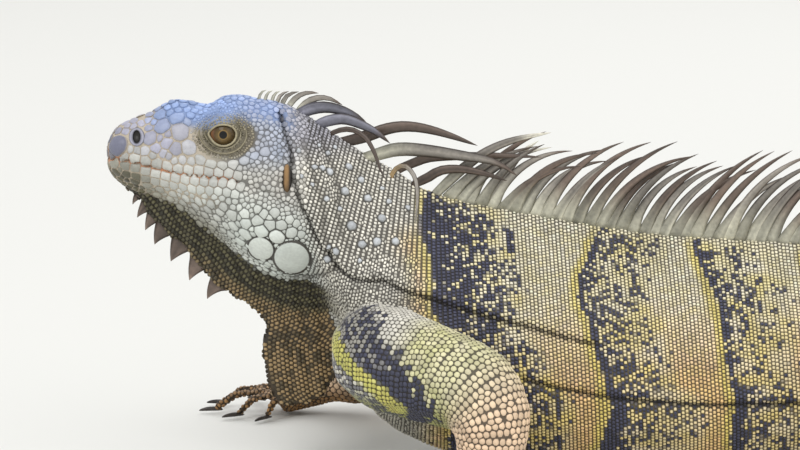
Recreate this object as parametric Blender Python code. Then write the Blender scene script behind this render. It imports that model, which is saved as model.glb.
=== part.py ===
"""A male green iguana lying on its belly with its head raised, life size, in named solid pieces.

Metres, +Z up, the snout towards -X and the animal's left side towards -Y. The sizes below are in
millimetres: x runs from the tip of the snout to the tail, y is 0 in the body's middle plane, and z is
0 on the floor. The last step moves everything so that the origin is under the middle of the object.
"""

import math

import bmesh
import bpy
from mathutils import Matrix, Vector

MM = 0.001
GAP = 0.3  # the cut that parts two neighbouring pieces
FLOOR = 0.0
BODY_SIDES = 22
LIMB_SIDES = 10
TAIL_SIDES = 10
BLUNT = 2.6  # how square the top and bottom of a body section are; 2 is an ellipse

NECK_START, NECK_END, TAIL_START = 97.0, 152.0, 428.0

# The outline in the middle plane, as (x, z).
CROWN_AND_BACK = (
    (0, 157), (2, 162.5), (5, 167), (11, 170.3), (23, 174.8), (28, 178.4), (34, 180.4), (40, 179.6),
    (47, 177), (56, 182), (64, 182.7), (72, 180.8), (84, 179), (97, 172.5), (113, 161.5),
    (133, 149.5), (143, 144), (152, 137.5), (169, 131.8), (208, 124.4), (261, 115.5), (333, 110.8),
    (375, 103), (405, 88), (428, 70),
)
THROAT_AND_BELLY = (
    (0, 148), (2, 143), (8, 137.5), (21, 132), (33, 127), (54, 110.8), (73, 96.6), (87, 91.5),
    (98, 92), (106, 80), (120, 42), (131, 23), (150, 12), (180, 2), (205, -5), (340, -5),
    (370, -1), (400, 6), (428, 12),
)
# Half widths as (x, y): at the ridge, a third of the way down, two thirds down, and at the keel.
RIDGE_WIDTH = (
    (0, 3), (3, 5), (8, 7), (24, 9), (34, 9.5), (48, 15), (57, 19.5), (66, 19.5), (76, 17), (90, 18),
    (100, 16), (126, 9), (152, 7), (428, 5),
)
UPPER_WIDTH = (
    (0, 5), (3, 8.5), (8, 12), (24, 15.5), (34, 17.5), (57, 20.5), (72, 23.5), (90, 26.5),
    (112, 27), (150, 37), (180, 42), (230, 46), (280, 46), (330, 42), (370, 34), (400, 27), (428, 21),
)
LOWER_WIDTH = (
    (0, 5), (3, 8.5), (8, 11.5), (24, 16), (34, 19), (57, 26.5), (72, 31), (88, 33), (98, 30),
    (112, 30), (126, 38), (150, 48), (180, 53), (230, 60), (280, 61), (330, 54), (370, 42), (400, 31),
    (428, 23),
)
KEEL_WIDTH = (
    (0, 3), (3, 5), (8, 7), (24, 9.5), (34, 11), (57, 15.5), (72, 19), (88, 21), (98, 18), (112, 19),
    (126, 26), (150, 36), (180, 43), (230, 50), (280, 52), (330, 44), (370, 32), (400, 23), (428, 15),
)
HEAD_X = (0.4, 1.8, 4.5, 9, 15, 22, 28, 34, 41, 49, 57, 65, 73, 81, 89, NECK_START)
NECK_X = (NECK_START, 104, 112, 120, 129, 140, NECK_END)
TRUNK_X = (NECK_END, 166, 182, 202, 230, 260, 290, 318, 345, 370, 392, 411, TAIL_START)

# The closed mouth, as (x, z), and where its line runs on below the ear.
MOUTH = (
    (-5, 152.6), (0, 152.2), (6, 152), (12, 151.4), (18, 150), (25, 148.5), (32, 147.1), (39, 146.2),
    (49, 145.7), (59, 145.3), (66, 143.6), (77, 139.5), (102, 127),
)

EYE_X, EYE_Z, EYE_RADIUS, EYE_DEPTH = 57.0, 165.4, 7.2, 5.6
EAR_X, EAR_Z, EAR_RADII = 87.0, 145.0, (4.2, 1.7, 7.6)
NOSTRIL_X, NOSTRIL_Z, NOSTRIL_RADIUS = 15.4, 163.2, 2.3

# The hanging fold of the throat: where its front and back edges are, and its half thickness, by height.
DEWLAP_FRONT = (
    (29, 86), (31, 80), (36, 76.5), (48, 74.7), (60, 73.8), (72, 74.5), (84, 58), (92, 47.5),
    (107, 36), (121, 21), (137, 9),
)
DEWLAP_BACK = ((29, 94), (31, 100), (36, 106), (48, 114), (60, 119), (84, 122), (137, 118))
DEWLAP_HALF_THICKNESS = ((29, 0.9), (31, 1.7), (36, 2.3), (60, 3.1), (84, 4.0), (107, 5.5), (137, 7))
DEWLAP_HEIGHTS = (29, 31.5, 38, 55, 70, 77, 84, 92, 107, 122, 137)
GULAR_SPINES, GULAR_TOP, GULAR_DROP, GULAR_WIDTH = 8, 131.0, 47.0, 5.4

# Crest spines by x: the step to the next one, the length, and how steeply root and tip rise, in degrees.
CREST_START, TAIL_CREST_PITCH = 76.0, 8.0
SPINE_STEP = ((76, 4.5), (95, 4.5), (104, 7), (145, 7), (160, 5.1), (340, 5.1), (428, 7))
SPINE_LENGTH = (
    (76, 3), (82, 7), (91, 12), (96, 21), (104, 25), (112, 30), (118, 57), (145, 60), (153, 44),
    (165, 45), (185, 49), (215, 52), (320, 55), (375, 36), (428, 14),
)
SPINE_ROOT = (
    (76, 60), (91, 45), (104, 24), (112, 22), (118, 27), (147, 22), (156, 44), (170, 56), (215, 62),
    (330, 64), (380, 55), (428, 30),
)
SPINE_TIP = (
    (76, 0), (91, -22), (104, -32), (130, -28), (147, -12), (156, 6), (170, 14), (215, 26), (330, 28),
    (428, -8),
)
NAPE_START, SHOULDER_END = 100.0, 190.0
NAPE_HEADING = -7.0  # the long spines of the nape fall to the left, past those behind them
NAPE_TILT, SHOULDER_TILT, BACK_TILTS = -9.0, 4.0, (1.5, -1.5)
SPINE_SUNK = 1.2  # how far under the ridge a spine's root lies
LONG_SPINE, LONG_STEPS, SHORT_STEPS = 50.0, 3, 2
SPINE_TAPER, SPINE_THICKNESS = 0.65, 0.28  # shares of a spine's width
TAIL_CREST_LENGTH, TAIL_SPINE_FIRST, TAIL_SPINE_LAST, TAIL_SPINE_WIDTH = 140.0, 15.0, 3.0, 3.2

TAIL_LENGTH, TAIL_STEP = 950.0, 30.0
TAIL_CUTS = (0, 140, 330, 590, TAIL_LENGTH)
TAIL_HALF_HEIGHT, TAIL_HALF_WIDTH, TAIL_TIP = 27.5, 21.0, 1.3
TAIL_STRAIGHT, TAIL_LOWERING = 90.0, 150.0
TAIL_FIRST_RADIUS, TAIL_LAST_RADIUS = 300.0, 175.0  # the tail's curve tightens towards the tip

SKIN_COLOURS = {
    "face": (0.42, 0.43, 0.45), "neck": (0.38, 0.35, 0.26), "trunk": (0.46, 0.38, 0.20),
    "limb": (0.45, 0.33, 0.22), "dewlap": (0.34, 0.21, 0.12), "tail": (0.33, 0.27, 0.19),
    "eye": (0.20, 0.13, 0.04), "ear": (0.45, 0.25, 0.12), "claw": (0.06, 0.05, 0.045),
}


def along(points, x):
    """The value at x on a smooth curve through (x, value) points that never overshoots them."""
    if x <= points[0][0]:
        return points[0][1]
    if x >= points[-1][0]:
        return points[-1][1]
    i = max(k for k in range(len(points) - 1) if points[k][0] <= x)
    slopes = [(b[1] - a[1]) / (b[0] - a[0]) for a, b in zip(points, points[1:])]

    def tangent(k):
        if k in (0, len(points) - 1):
            return slopes[min(k, len(slopes) - 1)]
        before, after = slopes[k - 1], slopes[k]
        return 0.0 if before * after <= 0 else 2 * before * after / (before + after)

    (x0, y0), (x1, y1) = points[i], points[i + 1]
    step = x1 - x0
    t = (x - x0) / step
    return (
        (1 + 2 * t) * (1 - t) ** 2 * y0 + t * (1 - t) ** 2 * step * tangent(i)
        + t * t * (3 - 2 * t) * y1 - t * t * (1 - t) * step * tangent(i + 1)
    )


def half_width(x, level):
    """Half the body's width before top and bottom are closed; level is 0 at the ridge and 1 at the keel."""
    stops = [along(curve, x) for curve in (RIDGE_WIDTH, UPPER_WIDTH, LOWER_WIDTH, KEEL_WIDTH)]
    return along(tuple((k / 3, value) for k, value in enumerate(stops)), level)


def body_y(x, z):
    """How far from the middle plane the body's side is at this place."""
    top, bottom = along(CROWN_AND_BACK, x), along(THROAT_AND_BELLY, x)
    level = (top - z) / (top - bottom)
    return half_width(x, level) * (1 - abs(1 - 2 * level) ** BLUNT) ** 0.5


def body_section(x, grow=0.0):
    """The ring of points round the body in the plane at x, starting at the ridge."""
    top, bottom = along(CROWN_AND_BACK, x) + grow, along(THROAT_AND_BELLY, x) - grow
    ring = []
    for k in range(BODY_SIDES):
        angle = 2 * math.pi * k / BODY_SIDES
        level = (1 - math.cos(angle)) / 2
        closing = (1 - abs(math.cos(angle)) ** BLUNT) ** 0.5
        y = math.copysign((half_width(x, level) + grow) * closing, -math.sin(angle))
        ring.append(Vector((x, y, top + (bottom - top) * level)))
    return ring


def material(finish):
    """One plain finish for each kind of surface."""
    found = bpy.data.materials.get(finish)
    if found:
        return found
    made = bpy.data.materials.new(finish)
    made.use_nodes = True
    shader = made.node_tree.nodes["Principled BSDF"]
    shader.inputs["Base Color"].default_value = (*SKIN_COLOURS[finish], 1)
    shader.inputs["Roughness"].default_value = 0.15 if finish == "eye" else 0.6
    shader.inputs["Metallic"].default_value = 0
    return made


def finish_object(name, bm, finish):
    """The bmesh, in millimetres, as an object in metres."""
    bmesh.ops.recalc_face_normals(bm, faces=bm.faces)
    bmesh.ops.scale(bm, vec=(MM, MM, MM), verts=bm.verts)
    mesh = bpy.data.meshes.new(name)
    bm.to_mesh(mesh)
    bm.free()
    mesh.shade_smooth()
    mesh.set_sharp_from_angle(angle=math.radians(40))
    obj = bpy.data.objects.new(name, mesh)
    bpy.context.scene.collection.objects.link(obj)
    mesh.materials.append(material(finish))
    return obj


def add_tube(bm, rings, tip=None):
    """A closed tube through rings of equal count, with flat ends, or drawn to a point at tip.

    Its walls are triangles cut the same way each time, so that a grown copy stays clear of it all over.
    """
    loops = []
    for ring in rings:
        made = bmesh.ops.create_circle(bm, segments=len(ring), radius=1)["verts"]
        for vert, place in zip(made, ring):
            vert.co = place
        loops.append(made)
    walls = []
    for first, second in zip(loops, loops[1:]):
        sides = len(first)
        for k in range(sides):
            after = (k + 1) % sides
            walls.append(bm.faces.new((first[k], first[after], second[after], second[k])))
    bmesh.ops.triangulate(bm, faces=walls, quad_method="FIXED")
    bm.faces.new(loops[0])
    if tip is None:
        bm.faces.new(loops[-1])
    else:
        edges = [bm.edges.get((a, b)) for a, b in zip(loops[-1], loops[-1][1:] + loops[-1][:1])]
        drawn = bmesh.ops.extrude_edge_only(bm, edges=edges)["geom"]
        bmesh.ops.pointmerge(bm, verts=[v for v in drawn if isinstance(v, bmesh.types.BMVert)], merge_co=tip)


def tube(name, rings, finish, tip=None):
    bm = bmesh.new()
    add_tube(bm, rings, tip)
    return finish_object(name, bm, finish)


def flatten_on_floor(obj):
    """Takes off whatever reaches below the floor, so that the piece rests there on a flat."""
    bm = bmesh.new()
    bm.from_mesh(obj.data)
    everything = bm.verts[:] + bm.edges[:] + bm.faces[:]
    floor = {"plane_co": (0, 0, FLOOR), "plane_no": (0, 0, -1)}
    cut = bmesh.ops.bisect_plane(bm, geom=everything, dist=1e-7, clear_outer=True, **floor)["geom_cut"]
    bmesh.ops.holes_fill(bm, edges=[e for e in cut if isinstance(e, bmesh.types.BMEdge)], sides=0)
    bmesh.ops.recalc_face_normals(bm, faces=bm.faces)
    bm.to_mesh(obj.data)
    bm.free()


def shifted(ring, other, distance):
    """The ring moved towards the middle of another one, to leave half a parting cut."""
    middle, far = (sum(r, Vector()) / len(r) for r in (ring, other))
    return [point + (far - middle).normalized() * distance for point in ring]


def parted(rings, cut_start=True, cut_end=True):
    """The rings with the end ones drawn in by half the gap."""
    rings = [list(ring) for ring in rings]
    if cut_start:
        rings[0] = shifted(rings[0], rings[1], GAP / 2)
    if cut_end:
        rings[-1] = shifted(rings[-1], rings[-2], GAP / 2)
    return rings


def body_core(grow):
    """The whole head, neck and trunk, a little larger, for cutting what meets them."""
    stations = sorted(set(HEAD_X + NECK_X + TRUNK_X))
    return tube("core_cutter", [body_section(x, grow) for x in stations], "trunk")


def boolean(obj, other, operation, keep=False):
    """Applies a Boolean, and drops the other object unless it is kept."""
    modifier = obj.modifiers.new(operation.lower(), "BOOLEAN")
    modifier.operation, modifier.object, modifier.solver = operation, other, "EXACT"
    graph = bpy.context.evaluated_depsgraph_get()
    result = bpy.data.meshes.new_from_object(obj.evaluated_get(graph))
    obj.modifiers.clear()
    obj.data = result
    if not keep:
        bpy.data.objects.remove(other)
    return obj


def prism(name, outline, half_depth):
    """An outline in the XZ plane, given as (x, z), made solid across the middle plane."""
    bm = bmesh.new()
    near = [bm.verts.new((x, -half_depth, z)) for x, z in outline]
    face = bm.faces.new(near)
    grown = bmesh.ops.extrude_face_region(bm, geom=[face])["geom"]
    moved = [v for v in grown if isinstance(v, bmesh.types.BMVert)]
    bmesh.ops.translate(bm, verts=moved, vec=(0, 2 * half_depth, 0))
    return finish_object(name, bm, "face")


def ball(name, centre, radii, finish, segments, rings):
    """A UV sphere whose poles point sideways, so that its rings run round the line of sight."""
    bm = bmesh.new()
    bmesh.ops.create_uvsphere(bm, u_segments=segments, v_segments=rings, radius=1)
    bmesh.ops.rotate(bm, verts=bm.verts, matrix=Matrix.Rotation(math.pi / 2, 3, "X"))
    bmesh.ops.scale(bm, verts=bm.verts, vec=radii)
    bmesh.ops.translate(bm, verts=bm.verts, vec=centre)
    return finish_object(name, bm, finish)


def add_spine(bm, root, length, rise, end_rise, tilt, width, heading=0.0, steps=SHORT_STEPS):
    """One spine: a three-sided blade that leaves its root at a rise in degrees and curves to another one.

    The root lies a little under the skin, and tilt leans the blade sideways.
    """
    rings, place = [], Vector((0, 0, 0))
    for k in range(steps):
        angle = math.radians(rise + (end_rise - rise) * k / (steps - 0.5))
        rear = Vector((math.cos(angle), 0, math.sin(angle)))
        narrowed = width * (1 - SPINE_TAPER * k / steps)
        across = Vector((rear.z, 0, -rear.x)) * narrowed / 2
        thick = Vector((0, SPINE_THICKNESS * narrowed, 0))
        rings.append([place - across, place + across - thick, place + across + thick])
        place = place + rear * length / steps
    turn = Matrix.Rotation(math.radians(heading), 3, "Z") @ Matrix.Rotation(math.radians(-tilt), 3, "X")
    rings = [[root + turn @ point for point in ring] for ring in rings]
    add_tube(bm, rings, tip=root + turn @ place)


def crest(first, last):
    """The spines that stand on the middle line of the back between two stations."""
    bm = bmesh.new()
    x, count = CREST_START, 0
    while x < last - 2.5:
        if x > first + 2:
            length = along(SPINE_LENGTH, x)
            nape = NAPE_START < x < NECK_END
            tilt = BACK_TILTS[count % 2]
            if nape:
                tilt = NAPE_TILT
            elif NECK_END <= x < SHOULDER_END:
                tilt = SHOULDER_TILT
            root = Vector((x, 0, along(CROWN_AND_BACK, x) - SPINE_SUNK))
            heading = NAPE_HEADING if nape else 0.0
            steps = LONG_STEPS if nape and length > LONG_SPINE else SHORT_STEPS
            width = min(4.2, 1.6 + 0.12 * length)
            rise, end_rise = along(SPINE_ROOT, x), along(SPINE_TIP, x)
            add_spine(bm, root, length, rise, end_rise, tilt, width, heading, steps)
        x += along(SPINE_STEP, x)
        count += 1
    return finish_object("crest", bm, "trunk")


def make_head():
    rings = parted([body_section(x) for x in HEAD_X], cut_start=False)
    head, jaw = tube("head", rings, "face"), tube("jaw", rings, "face")
    below = [(MOUTH[-1][0], 70), (MOUTH[0][0], 70)]
    boolean(head, prism("mouth", list(MOUTH) + below, 60), "DIFFERENCE")
    lowered = [(x, z - GAP) for x, z in MOUTH]
    boolean(jaw, prism("mouth", lowered + below, 60), "INTERSECT")
    boolean(head, crest(CREST_START - 3, NECK_START), "UNION")
    for name, side in (("left", -1), ("right", 1)):
        eye = Vector((EYE_X, side * (body_y(EYE_X, EYE_Z) - EYE_DEPTH), EYE_Z))
        ear = Vector((EAR_X, side * (body_y(EAR_X, EAR_Z) - 0.4), EAR_Z))
        nostril = Vector((NOSTRIL_X, side * body_y(NOSTRIL_X, NOSTRIL_Z), NOSTRIL_Z))
        socket = (EYE_RADIUS + GAP,) * 3
        recess = tuple(r + GAP for r in EAR_RADII)
        boolean(head, ball("socket", eye, socket, "face", 12, 7), "DIFFERENCE")
        boolean(head, ball("recess", ear, recess, "face", 8, 5), "DIFFERENCE")
        boolean(head, ball("pit", nostril, (NOSTRIL_RADIUS,) * 3, "face", 7, 5), "DIFFERENCE")
        ball(f"eye_{name}", eye, (EYE_RADIUS,) * 3, "eye", 12, 7)
        ball(f"ear_{name}", ear, EAR_RADII, "ear", 8, 5)


def make_neck_and_trunk():
    neck = tube("neck", parted([body_section(x) for x in NECK_X]), "neck")
    boolean(neck, crest(NECK_START, NECK_END), "UNION")
    trunk = tube("trunk", parted([body_section(x) for x in TRUNK_X]), "trunk")
    boolean(trunk, crest(NECK_END, TAIL_START), "UNION")
    flatten_on_floor(trunk)


def dewlap_section(z, sides=12):
    front, back = along(DEWLAP_FRONT, z), along(DEWLAP_BACK, z)
    thick = along(DEWLAP_HALF_THICKNESS, z)
    ring = []
    for k in range(sides):
        angle = 2 * math.pi * k / sides
        lens = (1 - abs(math.cos(angle)) ** 3) ** 0.5
        x = (front + back) / 2 - (back - front) / 2 * math.cos(angle)
        ring.append(Vector((x, math.copysign(thick * lens, math.sin(angle)), z)))
    return ring


def make_dewlap():
    """The throat fold, with the row of soft spines on its front edge."""
    dewlap = tube("dewlap", [dewlap_section(z) for z in DEWLAP_HEIGHTS], "dewlap")
    bm = bmesh.new()
    for k in range(GULAR_SPINES):
        share = k / (GULAR_SPINES - 1)
        z = GULAR_TOP - GULAR_DROP * share
        length = 5.0 + 6.5 * math.sin(math.pi * (0.15 + 0.6 * share))
        root = Vector((along(DEWLAP_FRONT, z) + 2.0, 0, z + 1.0))
        add_spine(bm, root, length + 2.5, -125 + 25 * share, -112 + 20 * share, 0, GULAR_WIDTH)
    boolean(dewlap, finish_object("gular_spines", bm, "dewlap"), "UNION")
    boolean(dewlap, body_core(GAP), "DIFFERENCE")


def filleted(points, reach, samples=5):
    """The path with each inner corner turned into an arc, and the share of the way each sample is at.

    A sample's share counts corners: it is 1.0 in the middle of the arc round the second point.
    """
    path = [(points[0], 0.0)]
    for k in range(1, len(points) - 1):
        before, corner, after = points[k - 1], points[k], points[k + 1]
        legs = (before - corner).length, (after - corner).length
        towards = (before - corner).normalized(), (after - corner).normalized()
        fitted = min(reach, 0.45 * min(legs))
        half_angle = towards[0].angle(towards[1]) / 2
        centre = corner + (towards[0] + towards[1]).normalized() * fitted / math.cos(half_angle)
        spokes = [corner + direction * fitted - centre for direction in towards]
        for j in range(samples):
            t = j / (samples - 1)
            place = centre + spokes[0].slerp(spokes[1], t) * fitted * math.tan(half_angle)
            path.append((place, k + (t - 0.5) * 2 * fitted / legs[t > 0.5]))
    path.append((points[-1], len(points) - 1.0))
    return path


def limb_rings(points, sizes, sides, reach, samples=5):
    """Rings along a limb. For each corner, sizes has (half across, half deep), and sides the way across."""
    path = filleted([Vector(p) for p in points], reach, samples)
    rings, shares = [], []
    for i, (place, share) in enumerate(path):
        ahead, behind = path[min(i + 1, len(path) - 1)][0], path[max(i - 1, 0)][0]
        tangent = (ahead - behind).normalized()
        wide = along(tuple((k, s[0]) for k, s in enumerate(sizes)), share)
        deep = along(tuple((k, s[1]) for k, s in enumerate(sizes)), share)
        k = min(int(share), len(sides) - 2)
        side = Vector(sides[k]).lerp(Vector(sides[k + 1]), share - k)
        side = (side - tangent * side.dot(tangent)).normalized()
        up = tangent.cross(side)
        ring = []
        for n in range(LIMB_SIDES):
            angle = 2 * math.pi * n / LIMB_SIDES
            ring.append(place + side * wide * math.cos(angle) + up * deep * math.sin(angle))
        rings.append(ring)
        shares.append(share)
    return rings, shares


def slice_limb(rings, shares, cuts):
    """The runs of rings between the cuts, which are corner numbers; both runs keep the ring at a cut."""
    at = [min(range(len(shares)), key=lambda i: abs(shares[i] - cut)) for cut in cuts]
    return [rings[a:b + 1] for a, b in zip(at, at[1:])]


def digit(bm, root, heading, length, radius, arch):
    """One toe, arched up from the knuckle and down to the floor. Returns its end and its last direction."""
    ahead = Vector((math.cos(heading), math.sin(heading), 0))
    side = Vector((-ahead.y, ahead.x, 0))
    stops = ((0.0, root.z), (0.35, root.z + arch), (0.7, root.z * 0.7 + arch), (1.0, radius * 0.66))
    rings, places = [], [Vector((*(root + ahead * length * share).xy, height)) for share, height in stops]
    for k, place in enumerate(places):
        tangent = (places[min(k + 1, 3)] - places[max(k - 1, 0)]).normalized()
        up = tangent.cross(side)
        size = radius * (1 - 0.3 * stops[k][0])
        ring = []
        for n in range(DIGIT_SIDES):
            angle = 2 * math.pi * n / DIGIT_SIDES
            ring.append(place + side * size * math.sin(angle) - up * size * math.cos(angle))
        rings.append(ring)
    add_tube(bm, rings)
    return places[-1], (places[-1] - places[-2]).normalized()


def claw(name, root, tangent, length, radius):
    """A curved claw on the end of a toe. It rises a little and then turns down, just off the floor."""
    side = Vector((-tangent.y, tangent.x, 0)).normalized()
    rings, place = [], root
    for k in range(2):
        up = tangent.cross(side)
        size = radius * (1 - 0.35 * k)
        ring = []
        for n in range(DIGIT_SIDES):
            angle = 2 * math.pi * n / DIGIT_SIDES
            across = side * size * CLAW_NARROWNESS * math.cos(angle)
            ring.append(place + across + up * size * math.sin(angle))
        rings.append(ring)
        tangent = Vector((*tangent.xy.normalized(), (CLAW_RISE, CLAW_FALL)[k])).normalized()
        place = place + tangent * length / 2
    return tube(name, rings, "claw", tip=place)


def paw(name, palm_rings, knuckle, heading, width, toes, radius, arch, toe_names):
    """The palm or sole joined to its toes, and a claw for each toe. toes holds (offset, splay, length)."""
    palm = tube(name, palm_rings, "limb")
    across = Vector((-math.sin(heading), math.cos(heading), 0))
    for (offset, splay, length), label in zip(toes, toe_names):
        bm = bmesh.new()
        back = Vector((math.cos(heading), math.sin(heading), 0)) * -KNUCKLE_SETBACK * (1 + abs(offset))
        root = knuckle + across * offset * width + back
        turn = heading + math.radians(splay)
        end, tangent = digit(bm, root, turn, length, radius, arch)
        boolean(palm, finish_object("toe", bm, "limb"), "UNION")
        claw(f"claw_{label}", end + tangent * GAP, tangent, CLAW_LENGTH * radius, CLAW_THICKNESS * radius)
    flatten_on_floor(palm)


def make_limb(side_name, kind, points, sizes, sides, toes, toe_radius, palm_width, arch):
    """A whole limb in three pieces: the upper and lower leg, and the paw with its toes."""
    upper_name, lower_name, paw_name = {
        "front": ("upper_arm", "forearm", "hand"), "hind": ("thigh", "shank", "foot")}[kind]
    rings, shares = limb_rings(points, sizes, sides, reach=LIMB_BEND)
    upper, lower, palm = slice_limb(rings, shares, (0, 2, 3, len(points) - 1))
    piece = tube(f"{upper_name}_{side_name}", parted(upper, cut_start=False), "limb")
    boolean(piece, body_core(GAP), "DIFFERENCE")
    tube(f"{lower_name}_{side_name}", parted(lower), "limb")
    wrist, knuckle = Vector(points[-2]), Vector(points[-1])
    heading = math.atan2(knuckle.y - wrist.y, knuckle.x - wrist.x)
    names = [f"{paw_name}_{side_name}_{k}" for k in range(1, 6)]
    mirrored = -1 if side_name == "left" else 1
    spread = [(offset * mirrored, splay * mirrored, length) for offset, splay, length in toes]
    paw(f"{paw_name}_{side_name}", parted(palm, cut_end=False), knuckle, heading, palm_width, spread,
        toe_radius, arch, names)


DIGIT_SIDES = 5
KNUCKLE_SETBACK = 3.5  # how far the toes start behind the knuckles, and the outer ones twice as far
CLAW_RISE, CLAW_FALL = 0.12, -0.3  # the slopes of a claw's first and second half
CLAW_LENGTH, CLAW_THICKNESS, CLAW_NARROWNESS = 3.1, 0.6, 0.75  # in radii of the toe, and width by height
LIMB_BEND = 26.0  # how far from a joint of a limb its bend begins
FRONT_TOE_RADIUS, HIND_TOE_RADIUS = 3.4, 3.6
PALM_WIDTH, SOLE_WIDTH = 9.0, 9.5
LOW_ARCH, HIGH_ARCH = 2.5, 7.0  # how far a toe rises between its ends; the right hand's stand higher

# Toes from the inner to the outer one: offset across the palm, splay in degrees, length.
FINGERS = ((0.85, 46, 20), (0.5, 22, 30), (0.0, 4, 38), (-0.5, -14, 38), (-0.85, -38, 24))
TOES = ((0.9, 34, 20), (0.5, 16, 31), (0.05, 4, 44), (-0.45, -8, 58), (-0.95, -30, 34))
ARM_SIZES = ((11, 11), (20, 21.5), (15.5, 16.5), (9.5, 8.5), (10, 5.2))
LEG_SIZES = ((17, 17), (24, 26), (18, 18.5), (10, 8.5), (10.5, 5.6))
# Corners of each limb: root, shoulder or hip, elbow or knee, wrist or ankle, knuckles.
LEFT_ARM = ((123, -12, 72), (129, -41, 66), (187, -88, 55), (184, -88, 12), (162, -96, 4.6))
RIGHT_ARM = ((123, 12, 72), (129, 41, 66), (156, 102, 44), (104, 116, 13), (80, 116, 4.6))
LEFT_LEG = ((396, -12, 58), (392, -32, 58), (367, -97, 56), (416, -108, 13), (389, -131, 4.8))
RIGHT_LEG = ((396, 12, 58), (392, 32, 58), (370, 96, 56), (421, 106, 13), (396, 130, 4.8))


def make_limbs():
    for name, mirror, arm, leg in (("left", -1, LEFT_ARM, LEFT_LEG), ("right", 1, RIGHT_ARM, RIGHT_LEG)):
        arm_sides = ((0.5, -0.8 * mirror, 0), (0.5, -0.8 * mirror, 0), (0.3, -0.95 * mirror, 0),
                     (-0.2, -1.0 * mirror, 0), (-0.3, -1.0 * mirror, 0))
        leg_sides = ((1, 0, 0), (1, 0, 0), (0.6, 0.8 * mirror, 0.2), (0.2, 1.0 * mirror, 0),
                     (0.25, 1.0 * mirror, 0))
        arch = LOW_ARCH if name == "left" else HIGH_ARCH
        make_limb(name, "front", arm, ARM_SIZES, arm_sides, FINGERS, FRONT_TOE_RADIUS, PALM_WIDTH, arch)
        make_limb(name, "hind", leg, LEG_SIZES, leg_sides, TOES, HIND_TOE_RADIUS, SOLE_WIDTH, LOW_ARCH)


def tail_place(s):
    """The tail's middle, heading and slope at a length s from its base; it curves to the right side."""
    step, at, heading, place = 5.0, 0.0, 0.0, Vector((TAIL_START, 0))
    while at < s:
        part = min(step, s - at)
        bent = max(0.0, at - TAIL_STRAIGHT) / (TAIL_LENGTH - TAIL_STRAIGHT)
        if bent > 0:
            heading += part / (TAIL_FIRST_RADIUS + (TAIL_LAST_RADIUS - TAIL_FIRST_RADIUS) * bent)
        place += Vector((math.cos(heading), math.sin(heading))) * part
        at += part
    return place, heading


def tail_size(s):
    """Half height and half width at a length s from the tail's base."""
    left = 1 - s / TAIL_LENGTH
    high = TAIL_TIP + (TAIL_HALF_HEIGHT - TAIL_TIP) * left**1.25
    wide = TAIL_TIP + (TAIL_HALF_WIDTH - TAIL_TIP) * left**1.2
    return high, wide


def tail_height(s):
    """How high the tail's middle is: it comes down from the hips and then lies on the floor."""
    rest = tail_size(s)[0]
    lowered = min(1.0, s / TAIL_LOWERING)
    raised = (along(CROWN_AND_BACK, TAIL_START) + along(THROAT_AND_BELLY, TAIL_START)) / 2 - TAIL_HALF_HEIGHT
    return rest + raised * (1 - lowered * lowered * (3 - 2 * lowered))


def tail_ring(s):
    """A ring with a flat side below, which the tail rests on."""
    place, heading = tail_place(s)
    high, wide = tail_size(s)
    side = Vector((-math.sin(heading), math.cos(heading), 0))
    half_step = math.pi / TAIL_SIDES
    ring = []
    for k in range(TAIL_SIDES):
        angle = (2 * k + 1) * half_step
        point = Vector((*place, tail_height(s))) - side * wide * math.sin(angle)
        point.z += high * math.cos(angle) / math.cos(half_step)
        ring.append(point)
    return ring


def tail_crest(first, last):
    bm = bmesh.new()
    for k in range(1, int(TAIL_CREST_LENGTH / TAIL_CREST_PITCH)):
        s = k * TAIL_CREST_PITCH
        if not first + 3 < s < last - 3:
            continue
        place, heading = tail_place(s)
        length = TAIL_SPINE_FIRST + (TAIL_SPINE_LAST - TAIL_SPINE_FIRST) * s / TAIL_CREST_LENGTH
        rise = tail_height(s + 3) + tail_size(s + 3)[0] - tail_height(s - 3) - tail_size(s - 3)[0]
        root = Vector((*place, tail_height(s) + tail_size(s)[0] - 1.0))
        slope = math.degrees(math.atan2(rise, 6))
        add_spine(bm, root, length, slope + 48, slope + 25, 0, TAIL_SPINE_WIDTH, math.degrees(heading))
    return finish_object("tail_crest", bm, "tail")


def make_tail():
    for number, (first, last) in enumerate(zip(TAIL_CUTS, TAIL_CUTS[1:]), start=1):
        count = round((last - first) / TAIL_STEP)
        rings = [tail_ring(first + (last - first) * k / count) for k in range(count + 1)]
        tip = number == len(TAIL_CUTS) - 1
        piece = tube(f"tail_{number}", parted(rings, cut_end=not tip), "tail")
        if first < TAIL_CREST_LENGTH - 2 * TAIL_CREST_PITCH:
            boolean(piece, tail_crest(first, last), "UNION")


def centre_on_base():
    """Moves every piece so that the origin is on the floor under the middle of the object's box."""
    bpy.context.view_layer.update()
    corners = [o.matrix_world @ v.co for o in bpy.context.scene.objects for v in o.data.vertices]
    middle = [(min(c[k] for c in corners) + max(c[k] for c in corners)) / 2 for k in (0, 1)]
    for obj in bpy.context.scene.objects:
        obj.location -= Vector((*middle, 0))


def main():
    for old in list(bpy.data.objects):
        bpy.data.objects.remove(old)
    make_head()
    make_neck_and_trunk()
    make_dewlap()
    make_limbs()
    make_tail()
    centre_on_base()


main()
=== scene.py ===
"""A male green iguana, life size: skin, scales, crest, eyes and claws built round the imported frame."""

import math

import bmesh
import bpy
import numpy as np
from bpy.props import FloatProperty, FloatVectorProperty, IntProperty, PointerProperty
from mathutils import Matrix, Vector
from mathutils.bvhtree import BVHTree
from mathutils.kdtree import KDTree


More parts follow.
